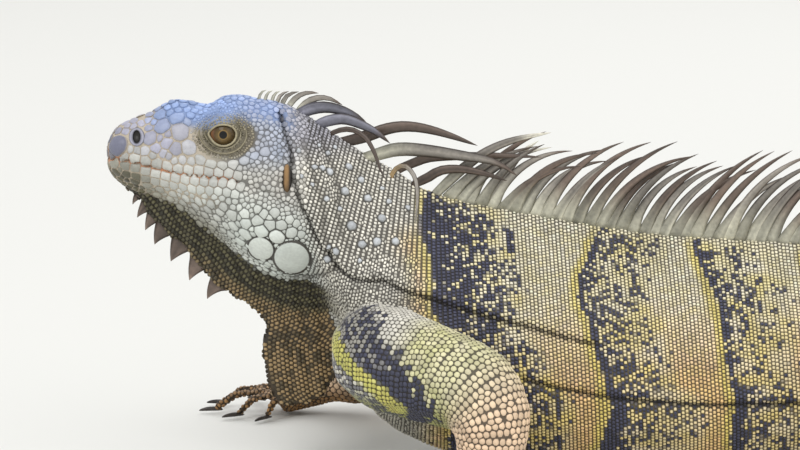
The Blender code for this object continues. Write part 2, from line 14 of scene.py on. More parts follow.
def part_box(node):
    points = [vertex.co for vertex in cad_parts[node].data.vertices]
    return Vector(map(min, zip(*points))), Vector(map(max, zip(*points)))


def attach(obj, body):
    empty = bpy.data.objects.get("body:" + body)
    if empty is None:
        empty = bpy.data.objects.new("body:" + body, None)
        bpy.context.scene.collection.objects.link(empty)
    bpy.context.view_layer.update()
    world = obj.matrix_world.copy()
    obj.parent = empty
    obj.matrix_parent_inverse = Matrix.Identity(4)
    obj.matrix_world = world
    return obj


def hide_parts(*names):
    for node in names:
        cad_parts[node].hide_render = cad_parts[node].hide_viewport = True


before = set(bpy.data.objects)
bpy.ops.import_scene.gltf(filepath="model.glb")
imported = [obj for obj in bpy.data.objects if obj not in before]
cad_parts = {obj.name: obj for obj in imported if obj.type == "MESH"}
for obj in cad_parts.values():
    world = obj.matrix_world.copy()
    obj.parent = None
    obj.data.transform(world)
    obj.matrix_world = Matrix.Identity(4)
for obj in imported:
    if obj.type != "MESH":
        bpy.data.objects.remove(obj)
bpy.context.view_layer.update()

bl_info = {
    "name": "Green iguana",
    "version": (1, 0, 0),
    "blender": (4, 5, 0),
    "location": "View3D > Sidebar > Iguana",
    "description": "Builds the skin, scales, crest, eyes and claws of a green iguana",
    "category": "Object",
}

# Inside this file places are in millimetres: x runs from the snout to the tail, y is 0 in the body's
# middle plane with the left side at -y, and z is 0 on the floor.
MM = 0.001
SNOUT_X = 0.4  # where the head's first section stands
ORIGIN = np.array([
    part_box("head")[0].x - SNOUT_X * MM, (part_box("trunk")[0].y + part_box("trunk")[1].y) / 2, 0.0])
SIDES = (("left", -1), ("right", 1))


def in_mm(places):
    return (np.asarray(places, float) - ORIGIN) / MM


def in_metres(places):
    return np.asarray(places, float) * MM + ORIGIN


FLESH = ["head", "jaw", "neck", "dewlap", "trunk", "tail_1", "tail_2", "tail_3", "tail_4"] + [
    f"{part}_{side}" for side in ("left", "right")
    for part in ("upper_arm", "forearm", "hand", "thigh", "shank", "foot")]
PART = {name: number for number, name in enumerate(FLESH)}
ARM_PARTS = {side: [PART[f"{p}_{side}"] for p in ("upper_arm", "forearm")] for side in ("left", "right")}
LEG_PARTS = {side: [PART[f"{p}_{side}"] for p in ("thigh", "shank")] for side in ("left", "right")}
PAWS = [PART[f"{p}_{side}"] for p in ("hand", "foot") for side in ("left", "right")]
TAIL_PARTS = [PART[f"tail_{k}"] for k in range(1, 5)]
HEAD_PARTS = [PART["head"], PART["jaw"]]
BODY_PARTS = [PART["trunk"], PART["neck"]]

# The middle lines of the limbs: root, shoulder or hip, elbow or knee, wrist or ankle, knuckles.
LIMBS = {
    ("arm", "left"): ((123, -12, 72), (129, -41, 66), (187, -88, 55), (184, -88, 12), (162, -96, 4.6)),
    ("arm", "right"): ((123, 12, 72), (129, 41, 66), (156, 102, 44), (104, 116, 13), (80, 116, 4.6)),
    ("leg", "left"): ((396, -12, 58), (392, -32, 58), (367, -97, 56), (416, -108, 13), (389, -131, 4.8)),
    ("leg", "right"): ((396, 12, 58), (392, 32, 58), (370, 96, 56), (421, 106, 13), (396, 130, 4.8)),
}
BODY_AXIS = ((0, 152), (30, 153), (60, 150), (97, 138), (130, 98), (152, 78), (230, 58), (340, 54), (428, 44))
RIDGE = (
    (0, 157), (11, 170.3), (34, 180.4), (47, 177), (64, 182.7), (84, 179), (97, 172.5), (113, 161.5),
    (133, 149.5), (152, 137.5), (169, 131.8), (208, 124.4), (261, 115.5), (333, 110.8), (375, 103),
    (405, 88), (428, 70))
MOUTH = (
    (-5, 152.6), (0, 152.2), (6, 152), (12, 151.4), (18, 150), (25, 148.5), (32, 147.1), (39, 146.2), (49, 145.7),
    (59, 145.3), (66, 143.6), (77, 139.5), (102, 127))
DEWLAP_FRONT = (
    (29, 86), (31, 80), (36, 76.5), (48, 74.7), (60, 73.8), (72, 74.5), (84, 58), (92, 47.5), (107, 36), (121, 21),
    (137, 9))
DEWLAP_DEPTH = 64.0
DEWLAP_SLOPE = ((60, 1), (84, 1.45), (137, 1.45))  # how much wider a row is across than along x, by height
TAIL_BASE, TAIL_LENGTH, TAIL_STRAIGHT = (428.0, 41.0), 950.0, 90.0
TAIL_FIRST_RADIUS, TAIL_LAST_RADIUS, TAIL_LOWERING = 300.0, 175.0, 150.0
TAIL_HALF_HEIGHT, TAIL_TIP = 27.5, 1.3


def linear(*levels):
    """Display levels from 0 to 255 as a linear colour."""
    return tuple(round(((v / 255 + 0.055) / 1.055) ** 2.4 if v > 10 else v / 255 / 12.92, 5) for v in levels)


def length_prop(name, default, description):
    return FloatProperty(name=name, description=description, default=default, min=0.0, precision=5, unit="LENGTH")


def colour_prop(name, levels, description):
    return FloatVectorProperty(
        name=name, description=description, default=linear(*levels), size=3, min=0.0, max=1.0, subtype="COLOR")


class IguanaSkin(bpy.types.PropertyGroup):
    """Sizes of the skin."""
    voxel: length_prop("Skin mesh", 0.0023, "How fine the skin's mesh is")
    overlap: length_prop("Overlap", 0.00035, "How far the flesh grows to close the cuts between the parts")
    coat_depth: length_prop("Coat depth", 0.0006, "How far the skin lies under the tops of the scales")
    fold: length_prop("Fold depth", 0.0016, "How deep the folds of the flank and the neck are")
    crease: length_prop("Mouth crease", 0.0012, "How deep the line of the mouth is")


class IguanaScales(bpy.types.PropertyGroup):
    """Sizes of the scales."""
    trunk: length_prop("Trunk scales", 0.00185, "Distance between the scale rows of the flank")
    belly: length_prop("Belly scales", 0.0023, "Distance between the scales of the belly")
    neck: length_prop("Neck scales", 0.00175, "Distance between the scale rows of the neck")
    face: length_prop("Face scales", 0.0030, "Distance between the small plates of the face")
    lid: length_prop("Lid scales", 0.0012, "Distance between the grains of the eyelids")
    arm: length_prop("Arm scales", 0.0031, "Distance between the scales of the arm")
    leg: length_prop("Leg scales", 0.0026, "Distance between the scales of the leg")
    paw: length_prop("Paw scales", 0.0020, "Distance between the scales of hands and feet")
    dewlap: length_prop("Dewlap scales", 0.0022, "Distance between the scales of the throat fold")
    tail: length_prop("Tail scales", 0.0034, "Distance between the whorls at the tail's base")
    seed: IntProperty(name="Seed", description="Start of the random numbers", default=7, min=0)


class IguanaColours(bpy.types.PropertyGroup):
    """Colours of the skin, the scales and the eyes."""
    cream: colour_prop("Cream", (238, 232, 214), "Upper flank")
    yellow: colour_prop("Yellow", (228, 210, 112), "Edges of the dark bands")
    tan: colour_prop("Tan", (236, 194, 142), "Lower flank")
    belly: colour_prop("Belly", (206, 186, 142), "Underside")
    band: colour_prop("Band", (70, 72, 94), "Dark bands of the trunk")
    neck: colour_prop("Neck", (228, 224, 212), "Neck")
    tubercle: colour_prop("Tubercles", (196, 200, 204), "Pointed scales of the neck")
    crown: colour_prop("Crown", (146, 168, 212), "Top of the head")
    snout: colour_prop("Snout", (168, 168, 184), "Plates of the snout")
    rostral: colour_prop("Snout tip", (112, 114, 132), "Plate at the tip of the snout")
    face: colour_prop("Face", (190, 190, 184), "Sides of the face")
    jowl: colour_prop("Jowl", (212, 218, 211), "Large plates of the cheek")
    lip: colour_prop("Lip", (188, 124, 84), "Seam of the mouth")
    lid: colour_prop("Lid", (140, 132, 108), "Eyelids")
    throat: colour_prop("Throat", (84, 80, 56), "Underside of the jaw")
    dewlap: colour_prop("Dewlap", (150, 126, 88), "Throat fold")
    arm: colour_prop("Arm", (220, 212, 184), "Upper arm")
    green: colour_prop("Green", (188, 190, 104), "Stripe of the shoulder")
    forearm: colour_prop("Forearm", (234, 204, 172), "Forearm")
    leg: colour_prop("Leg", (186, 164, 112), "Hind leg")
    paw: colour_prop("Paw", (150, 112, 66), "Hands and feet")
    tail_pale: colour_prop("Tail, pale", (168, 152, 104), "Pale rings of the tail")
    tail_dark: colour_prop("Tail, dark", (70, 60, 52), "Dark rings of the tail")
    seam: colour_prop("Seam", (206, 194, 174), "Seams between the plates of the snout")
    # The groove colour is also the dark of the painted shade in the skin's folds, round the nostril and at the edges
    # of the ear discs.
    groove: colour_prop("Groove", (58, 50, 40), "Skin between the scales")
    spine_root: colour_prop("Spine root", (188, 186, 168), "Root of a crest spine")
    spine: colour_prop("Spine", (138, 132, 124), "Blade of a crest spine")
    spine_tip: colour_prop("Spine tip", (226, 222, 206), "Tip of a pale crest spine")
    spine_dark: colour_prop("Dark spine", (84, 72, 64), "Dark spines of the nape")
    claw: colour_prop("Claw", (44, 38, 34), "Claws")
    iris: colour_prop("Iris", (104, 84, 48), "Iris of the eye")
    ear: colour_prop("Ear", (152, 118, 76), "Ear disc")


class IguanaStage(bpy.types.PropertyGroup):
    """The camera, the floor and the lights."""
    lens: FloatProperty(name="Lens", description="Focal length in millimetres", default=180.0, min=10.0)
    distance: length_prop("Distance", 1.925, "From the camera to the point it looks at")
    elevation: FloatProperty(
        name="Elevation", description="How far above the horizon the camera stands",
        default=math.radians(10), subtype="ANGLE")
    floor: colour_prop("Floor", (226, 226, 222), "Floor and backdrop")
    key: FloatProperty(name="Key light", description="Power of the main light", default=26.0, min=0.0, unit="POWER")
    sky: FloatProperty(name="Sky light", description="Strength of the light from all sides", default=0.85, min=0.0)


def scale_sizes():
    return bpy.context.scene.iguana_scales


def chances(number):
    """Random numbers that are the same in each run, a row of them for each number."""
    return np.random.default_rng(scale_sizes().seed + number)


# ---- curves and chance

def smooth(low, high, x):
    """0 below low, 1 above high, and a smooth step between them."""
    t = np.clip((np.asarray(x, float) - low) / (high - low), 0, 1)
    return t * t * (3 - 2 * t)


def bump(x, centre, width):
    """A hill one high at its centre."""
    return np.exp(-((np.asarray(x, float) - centre) / width) ** 2)


def table(points, x):
    """Straight lines through (x, value) points."""
    xs, values = zip(*points)
    return np.interp(x, xs, values)


def noise(places, size, seed=0):
    """Smooth random values from 0 to 1 that change over about the given size."""
    scaled = np.asarray(places, float) / size
    cell = np.floor(scaled).astype(np.int64)
    t = scaled - cell
    t = t * t * (3 - 2 * t)
    total = np.zeros(len(scaled))
    for corner in np.ndindex(2, 2, 2):
        c = cell + np.array(corner)
        mixed = (c[:, 0] * 73856093) ^ (c[:, 1] * 19349663) ^ (c[:, 2] * 83492791) ^ (seed * 40503 + 977)
        mixed = (mixed ^ (mixed >> 13)) * 1274126177 & 0xFFFFFFFF
        weight = np.prod(np.where(corner, t, 1 - t), axis=1)
        total += weight * ((mixed ^ (mixed >> 16)) & 0xFFFF) / 65535
    return total


def line_distance(places, line):
    """The distance to a line through points of any dimension, the share of its length, and the nearest place."""
    line = np.asarray(line, float)
    best = np.full(len(places), np.inf)
    at, nearest = np.zeros(len(places)), np.zeros((len(places), line.shape[1]))
    lengths = np.linalg.norm(np.diff(line, axis=0), axis=1)
    done = 0.0
    for a, b, length in zip(line, line[1:], lengths):
        t = np.clip(((places - a) @ (b - a)) / length**2, 0, 1)
        foot = a + t[:, None] * (b - a)
        gap = np.linalg.norm(places - foot, axis=1)
        closer = gap < best
        best[closer], at[closer], nearest[closer] = gap[closer], (done + t * length)[closer], foot[closer]
        done += length
    return best, at, nearest


def unit(vectors):
    return vectors / np.maximum(np.linalg.norm(vectors, axis=-1, keepdims=True), 1e-9)


def blend(first, second, share):
    share = np.asarray(share, float)
    if share.ndim:
        share = share[:, None]
    return first * (1 - share) + second * share


def layered(shade, *coats):
    """A colour with others laid over it, each given with its share."""
    for colour, share in coats:
        shade = blend(shade, colour, share)
    return shade


def rounded(line, rounds):
    """A line whose corners are cut off a number of times."""
    line = np.array(line, float)
    for _ in range(rounds):
        cuts = np.stack([0.75 * line[:-1] + 0.25 * line[1:], 0.25 * line[:-1] + 0.75 * line[1:]], 1)
        line = np.concatenate([line[:1], cuts.reshape(-1, 3), line[-1:]])
    return line


def run_along(line, step=1.0):
    """The length of a line up to each of its points, counted in steps."""
    return np.concatenate([[0], np.cumsum(np.linalg.norm(np.diff(line, axis=0), axis=1) / step)])


def places_at(line, run, at):
    """The places at some lengths along a line."""
    return np.stack([np.interp(at, run, line[:, k]) for k in range(3)], axis=1)


def tree_of(places):
    """A tree that finds the nearest of many places."""
    tree = KDTree(len(places))
    for k, place in enumerate(places):
        tree.insert(place, k)
    tree.balance()
    return tree


# ---- the middle lines of the parts

class Path:
    """A line through a part with a frame at each millimetre of it."""

    def __init__(self, corners, reference, rounds=3):
        line = rounded(corners, rounds)
        run = run_along(line)
        self.length = run[-1]
        self.points = places_at(line, run, np.linspace(0, self.length, max(2, int(self.length) + 1)))
        self.tangents = unit(np.gradient(self.points, axis=0))
        reference = np.array(reference, float)
        self.sides = unit(reference - self.tangents * (self.tangents @ reference)[:, None])
        self.ups = np.cross(self.sides, self.tangents)

    def frame(self, s):
        k = int(np.clip(round(s / self.length * (len(self.points) - 1)), 0, len(self.points) - 1))
        return self.points[k], self.tangents[k], self.sides[k], self.ups[k]

    def unwrap(self, places):
        """The length along the line, and the angle round it, with its seam below."""
        nearest = tree_of(self.points)
        k = np.array([nearest.find(p)[1] for p in places], int)
        away = places - self.points[k]
        angle = np.arctan2((away * self.sides[k]).sum(1), (away * self.ups[k]).sum(1))
        return k * self.length / (len(self.points) - 1), angle


def tail_height(s):
    """Half the height of the tail at a length along it."""
    return TAIL_TIP + (TAIL_HALF_HEIGHT - TAIL_TIP) * (1 - s / TAIL_LENGTH)**1.25


def tail_line():
    """The tail comes down from the hips, lies on the floor and curves to the right."""
    heading, x, y, points = 0.0, TAIL_BASE[0], 0.0, []
    for s in range(int(TAIL_LENGTH) + 1):
        raised = (TAIL_BASE[1] - TAIL_HALF_HEIGHT) * (1 - smooth(0, TAIL_LOWERING, s))
        points.append((x, y, tail_height(s) + raised))
        bent = (s - TAIL_STRAIGHT) / (TAIL_LENGTH - TAIL_STRAIGHT)
        if bent > 0:
            heading += 1 / (TAIL_FIRST_RADIUS + (TAIL_LAST_RADIUS - TAIL_FIRST_RADIUS) * bent)
        x, y = x + math.cos(heading), y + math.sin(heading)
    return points


BODY = Path([(x, 0, z) for x, z in BODY_AXIS], (0, 1, 0), rounds=2)
TAIL = Path(tail_line(), (0, 0, 1), rounds=0)
TAIL.sides, TAIL.ups = -TAIL.ups, TAIL.sides
LIMB_PATHS = {key: Path(corners, (1, 0, 0)) for key, corners in LIMBS.items()}
LIMB_LABELS = {key: (ARM_PARTS if key[0] == "arm" else LEG_PARTS)[key[1]] for key in LIMBS}
PAW_NAME = {"arm": "hand", "leg": "foot"}
PAW_LABEL = {(kind, side): PART[f"{PAW_NAME[kind]}_{side}"] for kind, side in LIMBS}


# ---- markings, with painted shade in the folds of the lower lids and of the throat

# The front edges of the dark bands of the trunk as (z, x), how wide each is solid, how much of it is dark
# behind that, and how far it goes on.
BANDS = (
    (((20, 165), (60, 172), (75, 160), (88, 156.3), (96, 158.5), (102, 156.7), (111, 152.4), (118, 150.3),
      (124, 151), (134, 153.3), (141, 155)), 6, 0.70, 36),
    (((10, 234), (18, 234.6), (42, 240), (52, 237), (71, 233.6), (81, 230), (86, 226.6), (96, 225),
      (109, 233.6), (120, 237)), 4, 0.52, 32),
    (((10, 297), (42, 298), (62, 295.5), (91, 291), (110, 281.5), (120, 288.5)), 4, 0.48, 34),
    (((10, 352), (50, 348), (80, 338), (115, 334)), 4.5, 0.5, 34),
    (((10, 404), (60, 398), (110, 386)), 4.5, 0.52, 26),
)
STREAK = ((108, 192), (118, 190.5), (130, 191))  # a thin dark streak behind the first band, high up
# The shoulder's yellow-green stripe on the left arm, as (x, z), and how wide the dark patch behind it is.
GREEN_STRIPE = ((104, 94), (105.6, 84.3), (107.5, 76.3), (110.4, 69.5), (116.1, 62), (121.9, 58.7), (129.5, 53.5),
                (135.2, 47.5), (139.9, 43.6))
DARK_PATCH = ((0, 18), (18, 15), (34, 9), (50, 5.5), (62, 4))
TAIL_RING = 64.0


def band_strength(places):
    """How dark the trunk is here, how far behind a band's front edge it is, and how yellow its edge is."""
    x, y, z = places.T
    shift = np.where(y > 0, 7.0, 0.0) + 4 * (noise(places, 11, 3) - 0.5)
    low = 1 - smooth(40, 56, z)
    dark, edge = np.zeros(len(x)), np.zeros(len(x))
    for front, solid, mixed, length in BANDS:
        behind = x + shift - table(front, z)
        beyond = (behind - solid - 5 * low) / (length * (1 + 0.3 * low))
        spread = mixed * (1 - 0.45 * np.clip(beyond, 0, 1)) * (1 - smooth(0.75, 1.2, beyond))
        strength = np.where(beyond < 0, np.maximum(spread, 1 - smooth(-0.12, 0, beyond) * (1 - mixed)), spread)
        dark = np.maximum(dark, strength * smooth(-0.6, 0.8, behind))
        edge = np.maximum(edge, bump(behind, -2.0, 2.6))
    behind = x - table(STREAK, z)
    streak = smooth(-0.5, 0.5, behind) * (1 - smooth(3, 6, behind)) * 0.75 * smooth(104, 110, z) * (y < -8)
    return np.maximum(dark, streak), edge


def trunk_colour(places, chance, c):
    x, _, z = places.T
    dark, edge = band_strength(places)
    above = z - table(RIDGE, x)
    low = 1 - smooth(45, 98, z + 12 * (noise(places, 20, 5) - 0.5))
    base = layered(
        c.cream, (c.tan, low), (c.yellow, np.clip(0.45 * noise(places, 2.6, 6) + 0.7 * edge, 0, 0.85)),
        (c.cream * 1.05, 0.6 * bump(above, 0, 5)), (c.belly, 1 - smooth(6, 22, z))) * (0.78 + 0.42 * chance[:, None])
    dark = dark * (1 - 0.6 * bump(above, 0, 3.5))
    cluster = noise(places * np.array([1, 1, 0.5]), 2.4, 8)
    spotted = np.clip(0.45 * cluster + 0.55 * chance, 0.02, 0.97)
    return layered(
        base, (blend(c.yellow, c.cream, noise(places, 6, 9)), smooth(0.05, 0.4, dark) * 0.7),
        (c.band * (0.75 + 0.6 * chance[:, None]), smooth(-0.05, 0.05, dark * 1.06 - 0.04 - spotted)))


def neck_colour(places, chance, c):
    x, _, z = places.T
    warm = bump(x - table(BANDS[0][0], z), -4, 8) * (1 - smooth(112, 126, z))
    return layered(
        c.neck, (c.snout * 0.85, smooth(148, 165, z) * 0.8), (c.throat * 1.2, (1 - smooth(60, 105, z)) * 0.55),
        (blend(c.yellow, c.tan, noise(places, 5, 7)), warm * 0.75)) * (0.62 + 0.62 * chance[:, None])


JAW_EDGE = (
    (0, 146), (12, 141), (20.9, 134), (32, 124.9), (48.2, 114.6), (59.2, 105.4), (70.3, 97), (85, 91), (98, 89))
THROAT_FOLDS = (-0.6, 4.4, 9.2)  # how far below the jaw's edge each long fold runs


def head_colour(places, chance, c):
    x, _, z = places.T
    over, below = z - table(MOUTH, x), table(JAW_EDGE, x) - z
    jowl = np.maximum(bump(np.hypot(x - 84, z - 105), 0, 17), bump(np.hypot(x - 70, z - 118), 0, 12))
    eye = np.hypot((x - 57.5) / 1.5, z - 164)
    crown = smooth(-13, -7, z - table(RIDGE, x) - 2 * smooth(30, 50, x) + 3 * (noise(places, 9, 11) - 0.5))
    crown = crown * smooth(17, 30, x + 3 * (noise(places, 5, 10) - 0.5))
    lids = np.minimum(*(np.abs(outside_lids(places, side)) for side, _ in SIDES))
    # Painted shade: the lid colour is darker in the creases just outside the folds of the lower lids.
    lid_fold_shade = np.maximum.reduce([bump(lids, fold[0] + 0.9, 0.55) for fold in LID_TUBES[1:]])
    lid_fold_shade = 1.0 - 0.6 * lid_fold_shade * (z < EYES["left"][2] + 2)
    shade = layered(
        c.face, (c.snout, (1 - smooth(30, 52, x)) * smooth(4, 10, over)),
        (c.crown * 0.95, 0.45 * smooth(58, 70, x) * smooth(146, 158, z)), (c.jowl, np.clip(jowl * 1.3, 0, 1)),
        (c.jowl * 0.92, bump(over, -9, 7) * 0.5 * smooth(20, 50, x)),
        (c.crown * (0.8 + 0.4 * noise(places, 6, 19)[:, None]), crown),
        (c.rostral, (1 - smooth(6, 10, x)) * smooth(-1, 3, z - 152) * (1 - smooth(163, 167, z))),
        (c.lid * lid_fold_shade[:, None], (1 - smooth(9, 11.5, eye)) * (1 - 0.35 * crown)),
        (c.throat * 2.0, 0.55 * (1 - smooth(2, 16, -below)) * (1 - smooth(50, 66, x))))
    dark = 1 - smooth(-1, 4, 3 * (noise(places, 5, 12) - 0.5) - below)
    pink = c.face * np.array([1.12, 0.96, 0.88])
    return layered(
        shade, (throat_lines(shade, below, c), np.maximum(dark, smooth(-2, -1, below))),
        (c.throat * 0.75, bump(np.hypot((x - 12) / 1.5, z - 144), 0, 5) * 0.95),
        (pink, 0.3 * noise(places, 7, 20) * smooth(55, 75, x) * smooth(128, 140, z))) * (0.84 + 0.3 * chance[:, None])


def dewlap_colour(places, chance, c):
    x, _, z = places.T
    shade = blend(c.dewlap, c.throat, smooth(62, 108, z) * 0.6)
    checks = smooth(0.45, 0.7, 0.5 * noise(places * np.array([1, 1, 0.5]), 4, 13) + 0.5 * chance)
    return throat_lines(blend(shade * 1.2, c.throat * 0.4, checks * 0.8), table(JAW_EDGE, x) - z, c)


def throat_lines(shade, below, c):
    """The throat's own colour below the jaw's edge, with painted shade as dark lines where its long folds run along
    that edge.
    """
    lines = np.maximum.reduce([bump(below, at, 1.15) for at in THROAT_FOLDS])
    # Painted shade: a dark line along each fold of the throat.
    return layered(shade, (c.throat * 1.5, 1 - smooth(9, 15, below)), (c.throat * 0.16, 0.9 * lines))


def arm_colour(places, chance, c, side, s):
    x, _, z = places.T
    if side == "left":
        gap, at, foot = line_distance(np.stack([x, z], axis=1), GREEN_STRIPE)
        beyond = np.where(x - foot[:, 0] + z - foot[:, 1] > 0, gap, -gap)
    else:
        at, beyond = 25.0, s - 44 + 6 * (noise(places, 12, 15) - 0.5)
    cream = blend(c.arm, c.green, 0.1 + 0.5 * noise(places, 5, 14) * (1 - smooth(84, 104, s)))
    uneven = 0.35 * noise(places, 2.6, 22) + 0.65 * chance
    patch = smooth(1.5, 3, beyond) * (1 - smooth(0, 1, (beyond - table(DARK_PATCH, at)) / 24))
    patch = patch * (1 - 0.8 * smooth(80, 92, z))
    before = smooth(2.5, 4, -beyond) * (1 - smooth(10, 20, -beyond))
    stripe = 1 - smooth(2.9, 4.6, np.abs(beyond) + 2.4 * (chance - 0.5))
    shade = layered(
        c.neck * 0.9, (cream, smooth(46, 66, s)),
        (c.green * 0.6, (1 - smooth(42, 55, z)) * (1 - smooth(88, 106, s)) * 0.85),
        (c.band * 0.75, smooth(-0.08, 0.08, patch * 1.05 - 0.05 - uneven * 0.9)),
        (c.neck * 0.4, patch * (chance > 0.55) * smooth(58, 72, z)), (c.band * 0.8, before * (chance > 0.45) * 0.8),
        (blend(c.green, c.yellow, 0.55 * noise(places, 6, 23)), stripe),
        (c.forearm * (0.94 + 0.12 * noise(places, 4, 24)[:, None]), smooth(86, 112, s)))
    return shade * (0.8 + 0.36 * chance[:, None])


def leg_colour(places, chance, c, s):
    bars = smooth(0.15, 0.5, np.sin(s / 30 * 2 * math.pi + 4 * noise(places, 14, 16)) - 0.5 * chance)
    shade = layered(c.leg, (c.tan, smooth(40, 90, s)), (c.band, bars * 0.85), (c.paw, smooth(115, 150, s)))
    return shade * (0.78 + 0.4 * chance[:, None])


def tail_colour(places, chance, c, s):
    ring = np.sin(s / TAIL_RING * 2 * math.pi + 1.6 + 1.2 * (noise(places, 18, 17) - 0.5))
    shade = layered(c.tail_pale, (c.tail_dark, smooth(-0.15, 0.25, ring + 0.5 * (chance - 0.5))),
                    (c.tail_dark * 1.3, smooth(500, 900, s) * 0.45))
    return shade * (0.8 + 0.4 * chance[:, None])


class Palette:
    """The chosen colours as arrays."""

    def __init__(self):
        chosen = bpy.context.scene.iguana_colours
        for name in IguanaColours.__annotations__:
            setattr(self, name, np.array(getattr(chosen, name)))


def marking_and_shade(places, parts, chance):
    """The colour of the animal at each place, with painted shade in the folds of the lower lids and of the throat;
    chance is a random value for each, from 0 to 1.
    """
    c = Palette()
    x, _, z = places.T
    body = layered(
        neck_colour(places, chance, c), (trunk_colour(places, chance, c), smooth(147, 153, x + 0.12 * (z - 120))))
    body = blend(head_colour(places, chance, c), body, smooth(88, 100, x + 0.25 * (z - 140)))
    shade = body.copy()
    on = parts == PART["dewlap"]
    shade[on] = dewlap_colour(places[on], chance[on], c)
    for (kind, side), path in LIMB_PATHS.items():
        on = np.isin(parts, LIMB_LABELS[kind, side] + [PAW_LABEL[kind, side]])
        s, _ = path.unwrap(places[on])
        if kind == "arm":
            made, joined = arm_colour(places[on], chance[on], c, side, s), smooth(10, 28, s)
        else:
            made, joined = leg_colour(places[on], chance[on], c, s), smooth(18, 48, s)
        paw = blend(c.paw, c.groove, 0.35 * noise(places[on], 5, 18)) * (0.7 + 0.6 * chance[on][:, None])
        shade[on] = layered(body[on], (made, joined), (paw, (1 - smooth(8, 22, z[on])) * (s > 0.7 * path.length)))
    on = np.isin(parts, TAIL_PARTS)
    s, _ = TAIL.unwrap(places[on])
    shade[on] = blend(body[on], tail_colour(places[on], chance[on], c, s), smooth(2, 40, s))
    return np.clip(shade, 0.004, 0.95)


# ---- the skin

EYES = {side: in_mm(sum(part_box(f"eye_{side}"), Vector()) / 2) for side, _ in SIDES}
EARS = {side: in_mm(sum(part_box(f"ear_{side}"), Vector()) / 2) for side, _ in SIDES}
EYE_RADIUS = (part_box("eye_left")[1].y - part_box("eye_left")[0].y) / 2 / MM
NOSTRIL = (15.4, 163.2)
SPINY = ("head", "neck", "trunk", "tail_1", "dewlap")
SOCKET = 14.0  # how far the lids reach from the middle of the eye
LID_OPENING = (5.6, 4.4, 5.2)  # half length of the gap between the lids, and its height above and below
LID_CORNER = 0.9  # how much longer the gap is towards the snout
LID_RINGS, LID_START = 5, 1.3  # the rings of grains round the gap, and how far outside it the first stands
EAR_HOLLOW = (3.5, 8.0, 2.6)  # half the width, half the height and the depth of the hollow round an ear disc
EAR_ROOM = (3.2, 8.6)  # half the width and half the height of the place that scattered scales leave free there
ARM_FULLNESS = ((12, 0), (28, 5), (50, 6), (80, 5), (100, 5.5), (125, 7), (138, 6), (149, 0))  # by length along it
BROW = ((33, 172), (45, 173.5), (56, 176), (68, 174.5), (77, 169))
UNDER_EYE = ((43, 156), (50, 152.5), (60, 151.5), (72, 154))
HEAD_END, HEAD_LOW = 104, 88  # the skin's mesh is finer before the one and above the other
SIDE_START = 75.0  # how far from the middle plane the search for the skin of a side starts
OVERHEAD = 240.0  # a height above the whole animal

# Folds of the skin on each side, as (x, z) lines, with their width and share of the full depth.
FOLDS = (
    (((83, 178), (86, 167), (89, 158.4), (90.2, 147.4), (93, 136.5), (98, 125.5), (101, 118), (104, 112)), 1.2, 1.5),
    (((95, 162), (101.8, 141.5), (104.7, 131), (104.3, 121), (108, 110)), 1.9, 0.6),
    (((104, 160), (109.7, 147.6), (112, 138), (111.2, 128), (113.7, 119.3), (117, 112)), 2.4, 0.6),
    (((84, 92), (98, 95), (106, 99), (111, 103)), 2.0, 0.9),
    (((107, 110), (111, 103), (118, 98), (127, 97), (132, 98), (142, 93.5), (154, 90), (168, 85.5), (185, 81),
      (203, 77), (218, 73), (233, 69.8)), 1.7, 1.3),
    (((199, 54), (215, 50.5), (241, 46), (280, 42.8), (345, 42)), 1.7, 1.3),
    (((352, 92), (362, 74), (368, 55)), 3.2, 0.7),
)
FLANK_FOLDS = (4, 5)  # the numbers of the long ones of the flank


def eye_gap(places):
    """The distance from the middle of the nearer eye."""
    return np.minimum(*(np.linalg.norm(places - EYES[side], axis=1) for side, _ in SIDES))


def merged(name):
    """A copy of a CAD node with its triangles joined, in millimetres."""
    bm = bmesh.new()
    bm.from_mesh(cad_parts[name].data)
    bmesh.ops.remove_doubles(bm, verts=bm.verts, dist=1e-6)
    for vert in bm.verts:
        vert.co = in_mm(vert.co)
    bm.normal_update()
    return bm


def without_spines(bm, name):
    """Presses a part's spines into its body, because finer ones stand there."""
    for vert in bm.verts:
        x, y, z = vert.co
        if name == "dewlap":
            front = float(table(DEWLAP_FRONT, z))
            if x < front - 0.6 and abs(y) < 2.2:
                vert.co.x = front + 2
        else:
            top = float(table(RIDGE, x))
            if name == "tail_1":
                s = x - TAIL_BASE[0]
                top = TAIL.frame(s)[0][2] + TAIL_HALF_HEIGHT * (1 - s / TAIL_LENGTH) ** 1.25
            if x > 74 and z > top + 0.7 and abs(y) < (7 if z < top + 6 else 30):
                vert.co.y, vert.co.z = 0, top - 2.5


def made_object(name, mesh):
    obj = bpy.data.objects.new(name, mesh)
    bpy.context.scene.collection.objects.link(obj)
    return obj


def absorb(whole, bm):
    """Moves one bmesh into another."""
    part = bpy.data.meshes.new("part")
    bm.to_mesh(part)
    bm.free()
    whole.from_mesh(part)
    bpy.data.meshes.remove(part)


def mesh_of(bm, name):
    """Ends a bmesh in millimetres as a mesh in metres."""
    for vert in bm.verts:
        vert.co = in_metres(vert.co)
    mesh = bpy.data.meshes.new(name)
    bm.to_mesh(mesh)
    bm.free()
    return mesh


def fuller(bm, path):
    """Rounds out an arm, most of all in front and below."""
    s, _ = path.unwrap(np.array([v.co for v in bm.verts]))
    for vert, along in zip(bm.verts, s):
        ahead = smooth(-0.3, 0.9, -0.62 * vert.normal.x - 0.78 * vert.normal.z)
        vert.co += vert.normal * float(table(ARM_FULLNESS, along) * (0.45 + 0.75 * ahead))


